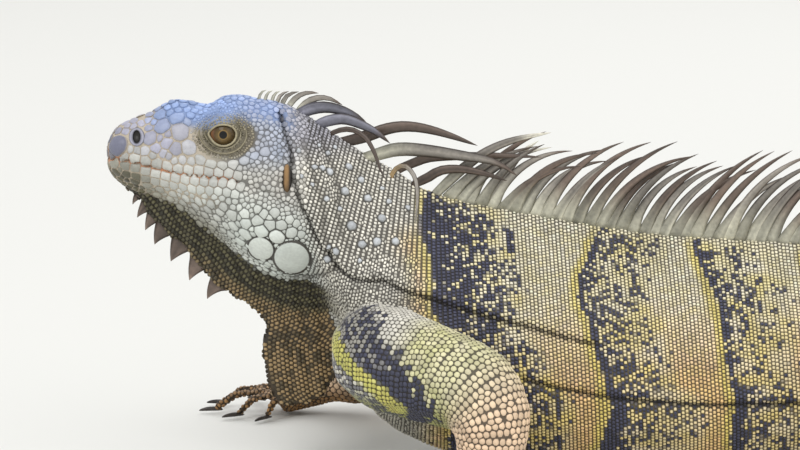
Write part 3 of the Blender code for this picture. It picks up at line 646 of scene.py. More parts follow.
def flesh_in_one(skin):
    """All the flesh as one closed mesh, in metres."""
    whole = bmesh.new()
    for name in FLESH + [f"{part}_{side}" for part in ("eye", "ear") for side, _ in SIDES]:
        bm = merged(name)
        if name in SPINY:
            without_spines(bm, name)
        bmesh.ops.recalc_face_normals(bm, faces=bm.faces)
        bm.normal_update()
        if name.startswith(("upper_arm", "forearm")):
            fuller(bm, LIMB_PATHS["arm", name.rsplit("_", 1)[1]])
            bm.normal_update()
        for vert in bm.verts:
            vert.co += vert.normal * skin.overlap / MM
        absorb(whole, bm)
    mesh = mesh_of(whole, "flesh")
    obj = made_object("flesh", mesh)
    remesh = obj.modifiers.new("one surface", "REMESH")
    remesh.mode, remesh.voxel_size = "VOXEL", skin.voxel
    graph = bpy.context.evaluated_depsgraph_get()
    joined = bpy.data.meshes.new_from_object(obj.evaluated_get(graph))
    bpy.data.objects.remove(obj)
    bpy.data.meshes.remove(mesh)
    return joined


def nearest_parts(places):
    """The number of the CAD node that is nearest to each place."""
    corners, triangles, owner = [], [], []
    for name in FLESH:
        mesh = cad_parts[name].data
        mesh.calc_loop_triangles()
        start = len(corners)
        corners += [in_mm(v.co) for v in mesh.vertices]
        triangles += [[start + k for k in t.vertices] for t in mesh.loop_triangles]
        owner += [PART[name]] * len(mesh.loop_triangles)
    tree = BVHTree.FromPolygons([Vector(c) for c in corners], triangles)
    return np.array([owner[tree.find_nearest(Vector(p))[2]] for p in places])


def finer(mesh, near):
    """Divides the faces whose middles satisfy a test."""
    bm = bmesh.new()
    bm.from_mesh(mesh)
    middles = in_mm([f.calc_center_median() for f in bm.faces])
    chosen = near(middles)
    edges = {e for f, wanted in zip(bm.faces, chosen) if wanted for e in f.edges}
    bmesh.ops.subdivide_edges(bm, edges=list(edges), cuts=1, use_grid_fill=True)
    bm.to_mesh(mesh)
    bm.free()


def vertex_places(mesh):
    co = np.zeros(len(mesh.vertices) * 3)
    mesh.vertices.foreach_get("co", co)
    return in_mm(co.reshape(-1, 3))


def vertex_normals(mesh):
    normals = np.zeros(len(mesh.vertices) * 3, np.float32)
    mesh.vertex_normals.foreach_get("vector", normals)
    return normals.reshape(-1, 3).astype(float)


def put_places(mesh, places):
    mesh.vertices.foreach_set("co", in_metres(places).astype(np.float32).ravel())
    mesh.update()


def relaxed(mesh, share, times):
    """Smooths a mesh without shrinking it; share says how much, for each vertex."""
    places = vertex_places(mesh)
    edges = np.zeros(len(mesh.edges) * 2, np.int32)
    mesh.edges.foreach_get("vertices", edges)
    first, second = edges.reshape(-1, 2).T
    count = np.bincount(np.concatenate([first, second]), minlength=len(places))[:, None]
    for _ in range(times):
        for pull in (0.5, -0.52):
            total = np.stack([
                np.bincount(first, places[second, k], len(places))
                + np.bincount(second, places[first, k], len(places)) for k in range(3)], axis=1)
            places = places + (total / count - places) * (share * pull)[:, None]
    put_places(mesh, places)


def eye_polar(places, side):
    """The angle from the eye's axis, the turn round it, and the distance from the eye's middle."""
    away = places - EYES[side]
    out = away[:, 1] * (-1 if side == "left" else 1)
    distance = np.linalg.norm(away, axis=1)
    return np.degrees(np.arccos(np.clip(out / distance, -1, 1))), np.arctan2(away[:, 2], away[:, 0]), distance


def lid_height(up):
    """How tall the gap between the lids is above or below the eye's middle."""
    return np.where(up > 0, LID_OPENING[1], LID_OPENING[2])


def lid_corner(turn):
    """How much farther the gap between the lids reaches, for a turn round the eye."""
    return LID_CORNER * bump(math.pi - np.abs(turn), 0, 0.35)


def lid_line(turn, outside):
    """The place across and up from the eye's middle, at a distance outside the lids' edge."""
    return ((LID_OPENING[0] + lid_corner(turn) + 1.4 * outside) * np.cos(turn),
            (lid_height(np.sin(turn)) + outside) * np.sin(turn))


def outside_lids(places, side):
    """How far each place is outside the lids' edge, seen from the side."""
    across, _, up = (places - EYES[side]).T
    low, high = np.full(len(places), -3.8), np.full(len(places), 30.0)
    for _ in range(16):
        middle = (low + high) / 2
        beyond = (across / (LID_OPENING[0] + 1.4 * middle)) ** 2 + (up / (lid_height(up) + middle)) ** 2 > 1
        low, high = np.where(beyond, middle, low), np.where(beyond, high, middle)
    return low


def opening_angle(turn):
    """How far from the eye's axis the edge of the lids is, in degrees, for a turn round the eye."""
    reach = 1 / np.sqrt((np.cos(turn) / LID_OPENING[0]) ** 2 + (np.sin(turn) / lid_height(np.sin(turn))) ** 2)
    return np.degrees(np.arcsin(np.clip((reach + lid_corner(turn)) / EYE_RADIUS, 0, 0.97)))


def sculpted(places, normals, parts, skin):
    """The skin's places with folds, brow, lids, nostrils, ear recess and the mouth's crease."""
    x, y, z = places.T
    flat = np.stack([x, z], axis=1)
    lift = np.full(len(x), -(skin.overlap + skin.coat_depth) / MM)
    on_face = np.isin(parts, HEAD_PARTS)
    body = (on_face | np.isin(parts, BODY_PARTS)) & (np.abs(y) > 8)
    for line, width, share in FOLDS:
        gap, _, foot = line_distance(flat, line)
        above = np.sign(z - foot[:, 1] + (foot[:, 0] - x) * 0.2) * gap
        valley = -bump(gap, 0, width) + 0.45 * bump(above, 1.9 * width, 1.3 * width)
        lift += np.where(body, valley * share * skin.fold / MM, 0)
    lift -= np.where(on_face, bump(line_distance(flat, MOUTH)[0], 0, 0.9) * skin.crease / MM, 0)
    lift += np.where(on_face & (np.abs(y) > 6), 1.5 * bump(line_distance(flat, BROW)[0], 0, 2.6), 0)
    lift += np.where(on_face, 0.7 * bump(line_distance(flat, UNDER_EYE)[0], 0, 1.6), 0)
    wrinkles = np.sin(x / 9 * 2 * math.pi + z / 11 + 3 * noise(places, 14, 21))
    lift += np.where(parts == PART["dewlap"], 0.55 * wrinkles, 0)
    places = places + normals * lift[:, None]
    for side, sign in SIDES:
        nostril = np.hypot((places[:, 0] - NOSTRIL[0]) * 1.2, (places[:, 2] - NOSTRIL[1]) * 0.9)
        rise = 0.8 * bump(nostril, 3.4, 1.0) - 3.2 * (1 - smooth(1.8, 2.7, nostril))
        places = places + normals * np.where(on_face & (places[:, 1] * sign > 0), rise, 0)[:, None]
        wide, tall, deep = EAR_HOLLOW
        ear = np.hypot((x - EARS[side][0]) / wide, (z - EARS[side][2]) / tall)
        near_ear = (y * sign > 0) & (np.abs(y) > 15) & (z > 130)
        places = places + normals * np.where(near_ear, -deep * (1 - smooth(0.75, 1.1, ear)), 0)[:, None]
        angle, turn, distance = eye_polar(places, side)
        outside = (angle - opening_angle(turn)) * EYE_RADIUS * math.pi / 180  # along the ball, from the lid's edge
        rings = 0.22 * np.cos(outside / 1.55 * 2 * math.pi)
        reach = np.where(outside < 0, EYE_RADIUS - 1.3, EYE_RADIUS + 0.55 + rings + 0.12 * outside)
        seen = (places[:, 1] * sign > 0) & (distance < SOCKET) & (angle < 100)
        target = EYES[side] + (places - EYES[side]) / distance[:, None] * reach[:, None]
        places = np.where(seen[:, None], blend(places, target, 1 - smooth(4.5, 9.0, outside)), places)
    return places


def flank_fold(places):
    """The distance to the nearest of the long folds of the flank; large on the limbs and between the sides."""
    flat = places[:, [0, 2]]
    gap = np.minimum(*(line_distance(flat, FOLDS[number][0])[0] for number in FLANK_FOLDS))
    return np.where(np.abs(places[:, 1]) > 14, gap, 99.0)


def build_skin():
    skin = bpy.context.scene.iguana_skin
    mesh = flesh_in_one(skin)
    parts = nearest_parts(vertex_places(mesh))
    relaxed(mesh, np.where(np.isin(parts, PAWS), 0.35, np.where(parts == PART["tail_4"], 0.5, 1.0)), 24)
    finer(mesh, lambda m: (m[:, 0] < HEAD_END) & (m[:, 2] > HEAD_LOW))
    finer(mesh, lambda m: eye_gap(m) < SOCKET)
    finer(mesh, lambda m: (m[:, 0] > HEAD_END) & (flank_fold(m) < 3.2))
    places = vertex_places(mesh)
    parts = nearest_parts(places)
    relaxed(mesh, np.where(places[:, 0] < HEAD_END, 1.0, 0.0), 3)
    places = sculpted(vertex_places(mesh), vertex_normals(mesh), parts, skin)
    put_places(mesh, places)
    # The skin takes the seams' colour, with their painted shade in the folds and round the nostril.
    store_colours(mesh, rim_colour(places, parts, marking_and_shade(places, parts, np.full(len(places), 0.5))))
    mesh.shade_smooth()
    obj = made_object("skin", mesh)
    mesh.name = "skin"
    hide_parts(*FLESH)
    settled(obj, "creased skin", "skin_trunk")


def store_colours(mesh, colours):
    layer = mesh.color_attributes.new("Marking", "FLOAT_COLOR", "POINT")
    full = np.concatenate([colours, np.ones((len(colours), 1))], axis=1)
    layer.data.foreach_set("color", full.astype(np.float32).ravel())


# ---- finishes

def add_node(tree, kind, values=(), **choices):
    node = tree.nodes.new(kind)
    for name, value in choices.items():
        setattr(node, name, value)
    for name, value in dict(values).items():
        node.inputs[name].default_value = value
    return node


def wire(tree, *links):
    """Joins sockets; each link is a node, its output, another node and its input."""
    for source, output, target, socket in links:
        tree.links.new(source.outputs[output], target.inputs[socket])


def uneven_tone():
    """A shared effect: uneven colour and shine and a fine grain, from a colour and a place."""
    name = "uneven tone"
    if name in bpy.data.node_groups:
        return bpy.data.node_groups[name]
    tree = bpy.data.node_groups.new(name, "ShaderNodeTree")
    for way, sockets in (
            ("INPUT", ("Colour Color", "Place Vector", "Grain Float", "Amount Float", "Shine Float")),
            ("OUTPUT", ("Colour Color", "Roughness Float", "Height Float"))):
        for label, kind in map(str.split, sockets):
            tree.interface.new_socket(label, in_out=way, socket_type="NodeSocket" + kind)
    start, end = add_node(tree, "NodeGroupInput"), add_node(tree, "NodeGroupOutput")
    fine = add_node(tree, "ShaderNodeTexNoise", {"Detail": 4.0, "Roughness": 0.6})
    broad = add_node(tree, "ShaderNodeTexNoise", {"Scale": 60.0, "Detail": 3.0})
    both = add_node(tree, "ShaderNodeMath", operation="ADD")
    centred = add_node(tree, "ShaderNodeMath", {1: 1.0}, operation="SUBTRACT")
    level = add_node(tree, "ShaderNodeMath", {2: 1.0}, operation="MULTIPLY_ADD")
    tinted = add_node(tree, "ShaderNodeVectorMath", operation="SCALE")
    rough = add_node(tree, "ShaderNodeMath", {1: 0.4}, operation="MULTIPLY_ADD", use_clamp=True)
    wire(tree, (start, "Place", fine, "Vector"), (start, "Place", broad, "Vector"), (start, "Grain", fine, "Scale"),
         (fine, "Fac", both, 0), (broad, "Fac", both, 1), (both, 0, centred, 0), (centred, 0, level, 0),
         (start, "Amount", level, 1), (start, "Colour", tinted, 0), (level, 0, tinted, "Scale"),
         (centred, 0, rough, 0), (start, "Shine", rough, 2), (tinted, 0, end, "Colour"),
         (rough, 0, end, "Roughness"), (fine, "Fac", end, "Height"))
    return tree


# Each finish: how fine its grain is, how uneven its colour, its roughness and the depth of its relief.
FINISHES = {
    "creased skin": (900, 0.5, 0.62, 0.0002),
    "scales": (1500, 0.5, 0.47, 0.00005),
    "plates": (700, 0.45, 0.40, 0.00010),
    "crest": (500, 0.9, 0.42, 0.00012),
    "horn": (420, 0.7, 0.28, 0.00008),
    "ear skin": (600, 0.5, 0.55, 0.00010),
    "lid skin": (1500, 0.5, 0.45, 0.00008),
    "wet eye": (900, 0.35, 0.22, 0.0),
}
WET = {"Specular IOR Level": 0.22, "Coat Weight": 0.25, "Coat Roughness": 0.03}


def finish(name):
    """A material whose colour is the mesh's own stored colour with its painted shade, with an uneven tone and a fine
    relief.
    """
    if name in bpy.data.materials:
        return bpy.data.materials[name]
    grain, amount, shine, depth = FINISHES[name]
    material = bpy.data.materials.new(name)
    material.use_nodes = True
    tree = material.node_tree
    shader = tree.nodes["Principled BSDF"]
    for socket, value in (WET if name == "wet eye" else {}).items():
        shader.inputs[socket].default_value = value
    colour = add_node(tree, "ShaderNodeAttribute", attribute_name="Marking")
    place = add_node(tree, "ShaderNodeTexCoord")
    tone = add_node(tree, "ShaderNodeGroup", node_tree=uneven_tone())
    for socket, value in (("Grain", grain), ("Amount", amount), ("Shine", shine)):
        tone.inputs[socket].default_value = value
    relief = add_node(tree, "ShaderNodeBump", {"Distance": depth, "Strength": 0.7})
    wire(tree, (colour, "Color", tone, "Colour"), (place, "Object", tone, "Place"),
         (tone, "Colour", shader, "Base Color"), (tone, "Roughness", shader, "Roughness"),
         (tone, "Height", relief, "Height"), (relief, 0, shader, "Normal"))
    return material


# ---- where the scales grow

# Large plates on each side of the head as (x, z, radius), seen from the side.
JOWL_PLATES = (
    (89.3, 106.4, 9.0), (74.6, 110.9, 6.5), (82.6, 117.8, 3.9), (75.0, 120.6, 3.6), (67.3, 118.4, 3.2),
    (89.5, 120.2, 2.8), (94.1, 119.1, 2.0), (64.7, 113.5, 2.8), (67.6, 124.0, 2.9), (73.4, 125.7, 2.7),
    (79.2, 124.0, 2.4), (85.0, 124.0, 2.6), (88.6, 126.6, 2.2), (91.9, 124.7, 1.9), (81.7, 130.0, 2.5),
    (76.3, 129.2, 2.1), (87.5, 131.9, 1.5), (61.4, 122.1, 2.8), (67.3, 128.8, 2.5), (61.1, 127.6, 2.9),
    (60.0, 117.0, 2.4), (77.8, 102.3, 1.7), (66.6, 108.5, 1.6), (70.4, 105.0, 1.4), (74.2, 103.2, 1.3),
    (80.5, 99.4, 1.3),
)
SNOUT_PLATES = (
    (6.0, 158.6, 5.95), (9.8, 165.2, 1.9), (9.6, 168.4, 1.7), (13.4, 169.6, 1.9), (22.0, 163.0, 3.5),
    (27.6, 168.2, 3.9), (26.4, 173.2, 3.1), (36.4, 166.2, 4.3), (34.6, 172.4, 3.5), (29.8, 161.0, 2.7),
    (24.8, 158.2, 2.3), (34.2, 158.2, 2.9), (40.8, 159.2, 3.5), (28.4, 156.0, 1.7), (19.5, 156.6, 2.0),
    (15.4, 156.6, 1.8), (51.2, 151.6, 2.4), (46.0, 153.6, 2.3), (61.8, 151.9, 2.4), (56.6, 151.0, 2.3),
    (67.2, 153.4, 2.3), (76.9, 157.5, 2.4), (71.8, 155.6, 2.0),
)
# The pointed scales of the neck as (x, z, radius) on each side.
TUBERCLES = (
    (92.7, 157.7, 1.3), (99.4, 142.3, 1.1), (104.0, 149.5, 1.5), (107.2, 147.2, 2.1), (100.3, 150.2, 1.3),
    (116.2, 148.6, 1.9), (122.2, 142.3, 1.9), (114.6, 138.2, 2.2), (112.4, 130.7, 1.1), (125.4, 134.1, 2.0),
    (132.3, 138.0, 1.1), (135.5, 132.2, 1.4), (144.6, 128.9, 1.4), (106.5, 155.4, 1.3), (109.8, 157.7, 1.1),
    (117.9, 122.8, 2.5), (132.2, 125.1, 2.2), (122.9, 114.2, 2.0), (130.0, 115.1, 2.2), (138.8, 115.0, 2.0),
    (110.5, 111.1, 1.8), (106.5, 107.1, 1.8), (107.1, 113.1, 1.0), (106.3, 135.6, 1.3), (94.2, 146.5, 1.1),
    (102.2, 159.2, 1.1), (121.9, 106.8, 1.1),
)
# The rows of plates along the mouth: how far above it, the step along the row, and the radius.
LIP_ROWS = ((2.5, 5.6, 2.75), (-2.4, 5.2, 2.55), (-6.6, 4.9, 2.4))
CHEEK_ROWS = (8, 3.3, 6.2, 2.5)  # how many, how far apart, the step along a row, and the radius
# Each small form: the turns of its corners, the share of its reach that is raised, its height as a
# share of its radius, how much higher its middle is, and how much its rear edge is raised.
SMALL_FORMS = {
    "bead": ((42, 90, 138, 222, 270, 318), 0.62, 0.42, 1.45, 0.0),
    "grain": ((30, 90, 150, 210, 270, 330), 0.66, 0.40, 1.40, 0.0),
    "plate": (tuple(range(20, 380, 45)), 0.78, 0.22, 1.35, 0.0),
    "keel": ((0, 52, 128, 180, 232, 308), 0.76, 0.26, 1.55, 0.35),
}
# Each large form: rings as (share of its reach, height as a share of its radius), then the height of the
# middle where it isn't the rings' own.
LARGE_FORMS = {
    "shield": ((1.0, -0.06), (0.935, 0.07), (0.87, 0.17), (0.65, 0.25), (0.33, 0.30)),
    "disc": ((1.13, -0.06), (1.06, 0.13), (0.97, 0.07), (0.93, 0.15), (0.65, 0.25), (0.33, 0.30)),
    "cone": ((1.0, -0.15), (0.90, 0.30), (0.66, 0.62), (0.36, 0.98)),
    "nostril": ((1.04, -0.25), (0.98, 0.10), (0.86, 0.24), (0.70, 0.24), (0.60, 0.02), (0.48, -0.40)),
}
LARGE_MIDDLES = {"shield": 0.34, "cone": 1.12}
LARGE_SIDES = 24
HIGHEST = 5.5  # a plate with a larger radius is no higher than one of this radius, in millimetres
FARTHEST = 1.42  # how far a scale may reach where nothing stops it, as a share of its radius
DISC = 6.0  # a plate with a larger radius is a disc that stands flat to the side, in millimetres
STEEP = 0.6  # rows of scales stop where the skin faces along their line more than this
LARGE = 1.7  # a scale with a larger radius is spaced as a plate, in millimetres
CELL = 3.4  # the size of the cells in which scattered scales look for their neighbours, in millimetres
TRUNK_CUTS = (215, 278, 341)  # where the second piece of the trunk's coat starts along x, and those after it
TIPPED, SMOKY = 0.12, 0.4  # how many spines of the back have a pale tip, and how many of the rest are dark
FORM_NAMES = list(SMALL_FORMS) + list(LARGE_FORMS)


class Surface:
    """The skin, with what is needed to plant scales on it."""

    def __init__(self):
        mesh = bpy.data.objects["skin"].data
        self.places = vertex_places(mesh)
        faces = [tuple(p.vertices) for p in mesh.polygons]
        self.tree = BVHTree.FromPolygons([Vector(p) for p in self.places], faces)
        self.corners = np.array([(f[0], f[1], f[2], f[-1]) for f in faces])
        self.normals = unit(vertex_normals(mesh)[self.corners].mean(axis=1))
        self.middles = self.places[self.corners].mean(axis=1)
        self.parts = nearest_parts(self.middles)
        areas = np.zeros(len(mesh.polygons))
        mesh.polygons.foreach_get("area", areas)
        self.areas = areas / MM**2

    def hit(self, start, way):
        place, _, face, _ = self.tree.ray_cast(Vector(start), Vector(way))
        return place, face

    def from_side(self, x, z, sign, start=SIDE_START):
        """The skin that is seen first from one side, at a place given by x and z."""
        return self.hit((x, sign * start, z), (0, -sign, 0))

    def depths(self, places, sign, otherwise):
        """How far from the middle plane the skin is at each (x, z) on one side."""
        feet = [self.from_side(x, z, sign)[0] for x, z in places]
        return np.array([abs(foot[1]) if foot is not None else otherwise for foot in feet])


class Seeds:
    """Where scales grow: the place, the skin face, the radius, the lie and the form of each."""

    def __init__(self):
        self.places, self.faces, self.radii, self.lies, self.forms = [], [], [], [], []

    def add(self, place, face, radius, lie, form):
        self.places.append(tuple(place))
        self.faces.append(face)
        self.radii.append(radius)
        self.lies.append(tuple(lie))
        self.forms.append(FORM_NAMES.index(form))

    def keep(self, kept):
        for name, values in vars(self).items():
            setattr(self, name, [v for v, stays in zip(values, kept) if stays])

    def close(self):
        for name, values in vars(self).items():
            setattr(self, name, np.array(values))


ARM_GROWTH = ((25, 0.70), (60, 0.86), (95, 1.0), (130, 1.04))  # the arm's scales along it, as a share


def pitch(places, parts):
    """The distance between neighbouring scales at each place, in millimetres."""
    size = {name: getattr(scale_sizes(), name) / MM for name in IguanaScales.__annotations__}
    x, _, z = places.T
    made = table(((330, size["trunk"]), (400, 1.25 * size["trunk"])), x)
    belly = 1 - smooth(8, 34, z)
    made = made * (1 - belly) + size["belly"] * belly
    above, gap = z - table(RIDGE, x), eye_gap(places)
    head = np.full(len(x), size["face"])
    for where, step in (
            ((x < 46) & (z > 150), 3.9), ((above > -9) & (x >= 46), 3.2), ((x > 66) & (z > 128) & (above < -9), 2.2),
            ((x > 90) | ((x > 84) & (z < 130)), 2.0), ((z < table(MOUTH, x) - 16) & (x < 62), 2.1),
            (gap < SOCKET + 1, np.clip(size["lid"] + 0.25 * (gap - 11.5), size["lid"], 3))):
        head = np.where(where, step, head)
    legs = LEG_PARTS["left"] + LEG_PARTS["right"]
    for where, step in (([PART["neck"]], size["neck"]), (HEAD_PARTS, head), ([PART["dewlap"]], size["dewlap"]),
                        (legs, size["leg"]), (PAWS, size["paw"])):
        made = np.where(np.isin(parts, where), step, made)
    for side, _ in SIDES:
        on = np.isin(parts, ARM_PARTS[side])
        if on.any():
            s = LIMB_PATHS["arm", side].unwrap(places[on])[0]
            under = (1 - smooth(44, 54, z[on])) * (1 - smooth(90, 105, s))
            made[on] = size["arm"] * table(ARM_GROWTH, s) * (1 - 0.3 * under)
    on = np.isin(parts, TAIL_PARTS)
    if on.any():
        made[on] = size["tail"] * (1 - 0.5 * TAIL.unwrap(places[on])[0] / TAIL_LENGTH)
    return made


def form_of(part):
    """The kind of small scale that grows on a part."""
    if part in HEAD_PARTS or any(part in ARM_PARTS[s] + LEG_PARTS[s] for s, _ in SIDES):
        return "plate"
    return "grain" if part in PAWS else "keel" if part in TAIL_PARTS else "bead"


def plant_from_sides(surface, seeds, spots, form, parts):
    """Plates given by x, z and radius, found on both sides of the head or the neck."""
    for _, sign in SIDES:
        for x, z, radius in spots:
            place, face = surface.from_side(x, z, sign)
            if place is None or surface.parts[face] not in parts:
                continue
            if form == "nostril":  # its middle is sunk, so its height comes from the skin round it
                feet = [surface.from_side(x + dx, z + dz, sign)[0]
                        for dx, dz in ((radius, 0), (-radius, 0), (0, radius), (0, -radius))]
                place.y = sum(foot.y for foot in feet) / len(feet)
            seeds.add(place, face, radius, (1, 0, 0), "disc" if radius > DISC else form)


def plant_lips(surface, seeds):
    """The rows of plates above and below the mouth."""
    for rise, step, radius in LIP_ROWS:
        x, spots = 4.0 - 0.2 * rise, []
        while x < 66:
            less = 1 - 0.003 * x
            spots.append((x, float(table(MOUTH, x)) + rise, radius * less))
            x += step * less
        plant_from_sides(surface, seeds, spots, "shield", HEAD_PARTS)


def plant_cheeks(surface, seeds):
    """Rows of long plates between the lower lip and the large plates of the cheek."""
    rows, drop, step, radius = CHEEK_ROWS
    for row in range(rows):
        spots, x = [], 14 + step / 2 * (row % 2) + 1.5 * row
        while x < 84:
            z = float(table(MOUTH, min(x, 62))) - 10.6 - drop * row - 0.10 * (x - 25) + 0.004 * max(0, x - 50) ** 2
            if z > table(JAW_EDGE, x) + 2 and z > 118:
                spots.append((x, z, radius - 0.012 * max(0, x - 50)))
            x += step - 0.03 * max(0, x - 40)
        plant_from_sides(surface, seeds, spots, "plate", HEAD_PARTS)


def plant_lids(surface, seeds):
    """Rings of grains round each eye."""
    step, chance = scale_sizes().lid / MM, chances(5)
    for side, sign in SIDES:
        for ring in range(LID_RINGS):
            outside = LID_START + ring * step * 0.98
            count = int(2 * math.pi * (5.2 + 1.2 * outside) / step)
            for k in range(count):
                turn = 2 * math.pi * (k + 0.5 * (ring % 2)) / count - math.pi
                if math.sin(turn) < 0.15 and any(abs(outside - fold[0]) < 0.62 for fold in LID_TUBES[1:]):
                    continue
                turn += chance.uniform(-0.35, 0.35) * 2 * math.pi / count
                across, up = lid_line(np.array(turn), outside + chance.uniform(-0.3, 0.3) * step)
                place, face = surface.from_side(EYES[side][0] + float(across), EYES[side][2] + float(up), sign)
                if place is not None:
                    seeds.add(place, face, 0.5 * step, (-math.sin(turn), 0, math.cos(turn)), "grain")


def plant_rows(surface, seeds, frames, parts, chance):
    """Rings of scales round a line; frames gives each ring's centre, tangent, side, up and lean."""
    turns = np.linspace(-math.pi, math.pi, 73)
    form = form_of(parts[0])
    for number, (centre, tangent, side, up, lean) in enumerate(frames):
        ways = [side * math.sin(a) + (up + tangent * lean) * math.cos(a) for a in turns]
        hits = [surface.hit(centre, way) for way in ways]
        faces = np.array([face if face is not None else 0 for _, face in hits])
        ring = np.array([place if place is not None else centre for place, _ in hits])
        labels = surface.parts[faces]
        if np.isin(labels, parts).sum() < 4:
            continue
        middles = (ring[1:] + ring[:-1]) / 2
        gaps = pitch(middles, np.where(np.isin(labels[:-1], parts), labels[:-1], parts[0]))
        run = run_along(ring, gaps)
        count = max(6, int(round(run[-1])))
        at = (np.arange(count) + 0.5 * (number % 2) + 0.25 * chance.random()) * run[-1] / count
        for angle, size in zip(np.interp(at, run, turns), np.interp(at, (run[1:] + run[:-1]) / 2, gaps)):
            place, face = surface.hit(centre, side * math.sin(angle) + (up + tangent * lean) * math.cos(angle))
            if place is not None and surface.parts[face] in parts and abs(surface.normals[face] @ tangent) < STEEP:
                seeds.add(place, face, 0.5 * size, tangent, form)


def body_frames(first, last, step, lean):
    """Rings that stand at a slant, each given by the place of its top on the ridge."""
    along, across, up = np.eye(3)
    x = first
    while x < last:
        slant, middle, top = float(lean(x)), float(table(BODY_AXIS, x)), float(table(RIDGE, x))
        yield np.array([x - slant * (top - middle), 0, middle]), along, across, up, slant
        x += step(x)


def path_frames(path, first, last, step):
    s = first
    while s < last:
        yield (*path.frame(s), 0.0)
        s += step(s)


def plant_dewlap(surface, seeds, step):
    """Rows of scales on both sides of the throat fold, along its front edge."""
    heights = np.linspace(27, 139, 400)
    edge = np.stack([table(DEWLAP_FRONT, heights), heights], axis=1)
    run = run_along(edge)
    for _, sign in SIDES:
        for row in range(int(DEWLAP_DEPTH / (0.9 * step))):
            for at in np.arange(0.5 * (row % 2) * step, run[-1], step):
                z = float(np.interp(at, run, heights))
                front, slope = float(table(DEWLAP_FRONT, z)), float(table(DEWLAP_SLOPE, z))
                place, face = surface.from_side(front + 0.9 * row * step * slope, z, sign, 20)
                if place is not None and surface.parts[face] == PART["dewlap"]:
                    seeds.add(place, face, 0.5 * step, (1 - slope, 0, 0.4), "bead")


def plate_room(radius):
    """How far from its middle a plate keeps other scales off."""
    return radius * (1.08 if radius > DISC else 0.97)


def clear_of_plates(seeds, start):
    """Drops the seeds from start on that stand on the large plates before it, or on each other."""
    places, radii = np.array(seeds.places), np.array(seeds.radii)
    kept = np.ones(len(places), bool)
    near = np.arange(start, len(places))[places[start:, 0] < 160]
    for k in range(start):
        gap = np.linalg.norm(places[near] - places[k], axis=1)
        kept[near[gap < plate_room(radii[k]) + 0.55 * radii[near]]] = False
    nearest = tree_of(places)
    for k in range(start, len(places)):
        for _, j, gap in nearest.find_n(places[k], 3)[1:]:
            if j > k and kept[k] and kept[j] and gap < 0.5 * (radii[k] + min(radii[j], LARGE)):
                kept[k] = False
    seeds.keep(kept)


def bare(surface, seeds, spots, faces, radii):
    """Which places are free for scattered scales: off the plates, the lips, the lids and the ears."""
    free = np.ones(len(spots), bool)
    for place, radius in zip(seeds.places, seeds.radii):
        if radius > LARGE:
            free &= np.linalg.norm(spots - np.array(place), axis=1) > plate_room(radius) + 0.6 * radii
    lips = line_distance(spots[:, [0, 2]], MOUTH)[0]
    free &= (lips > 2.2) | (spots[:, 0] > 70) | (surface.parts[faces] > PART["jaw"])
    for side, _ in SIDES:
        outside = outside_lids(spots, side)
        other = (spots[:, 1] * EYES[side][1] < 0) | (np.abs(spots[:, 0] - EYES[side][0]) > 20)
        free &= other | (outside > LID_RINGS * scale_sizes().lid / MM + LID_START)
        wide, tall = EAR_ROOM
        ear = np.hypot((spots[:, 0] - EARS[side][0] - 0.4) / wide, (spots[:, 2] - EARS[side][2]) / tall)
        free &= (ear > 1) | (spots[:, 1] * EARS[side][1] < 0)
    return free


def plant_between(surface, seeds, chance):
    """Fills what the rows leave bare with scattered scales."""
    gaps = pitch(surface.middles, surface.parts)
    counts = chance.poisson(np.minimum(surface.areas / (0.11 * gaps**2), 40))
    faces = chance.permutation(np.repeat(np.arange(len(counts)), counts))
    a, b, c, d = (surface.places[surface.corners[faces, k]] for k in range(4))
    u, v = chance.random((2, len(faces), 1))
    spots = (a * (1 - u) + b * u) * (1 - v) + (d * (1 - u) + c * u) * v
    radii = 0.5 * gaps[faces]
    grid = {}  # the scales that stand in each cell
    for place, radius in zip(seeds.places, seeds.radii):
        grid.setdefault(tuple(int(v // CELL) for v in place), []).append((*place, min(radius, LARGE)))
    lies = {PAW_LABEL[key]: tuple(path.tangents[-1]) for key, path in LIMB_PATHS.items()}
    first = len(seeds.places)
    around = list(np.ndindex(3, 3, 3))
    for k in np.flatnonzero(bare(surface, seeds, spots, faces, radii)):
        x, y, z = spots[k]
        radius = radii[k]
        i, j, l = int(x // CELL), int(y // CELL), int(z // CELL)
        others = [o for di, dj, dl in around for o in grid.get((i + di - 1, j + dj - 1, l + dl - 1), ())]
        if all((x - o[0]) ** 2 + (y - o[1]) ** 2 + (z - o[2]) ** 2 > 0.64 * (radius + o[3]) ** 2 for o in others):
            grid.setdefault((i, j, l), []).append((x, y, z, radius))
            part = surface.parts[faces[k]]
            seeds.add((x, y, z), faces[k], radius, lies.get(part, (1, 0, 0)), form_of(part))
    return first


def evened(surface, seeds, first, rounds=4):
    """Pushes the scattered scales apart until they stand evenly."""
    places, radii = np.array(seeds.places), np.array(seeds.radii)
    for _ in range(rounds):
        nearest = tree_of(places)
        for k in range(first, len(places)):
            place, push = Vector(places[k]), Vector()
            for other, j, gap in nearest.find_n(place, 7)[1:]:
                wanted = 1.02 * (radii[k] + min(radii[j], 4 * radii[k]))
                if 1e-4 < gap < wanted:
                    push += (place - other) * ((wanted - gap) / gap * 0.35)
            moved, _, face, _ = surface.tree.find_nearest(place + push)
            places[k] = moved
            seeds.faces[k] = face
    seeds.places = [tuple(p) for p in places]


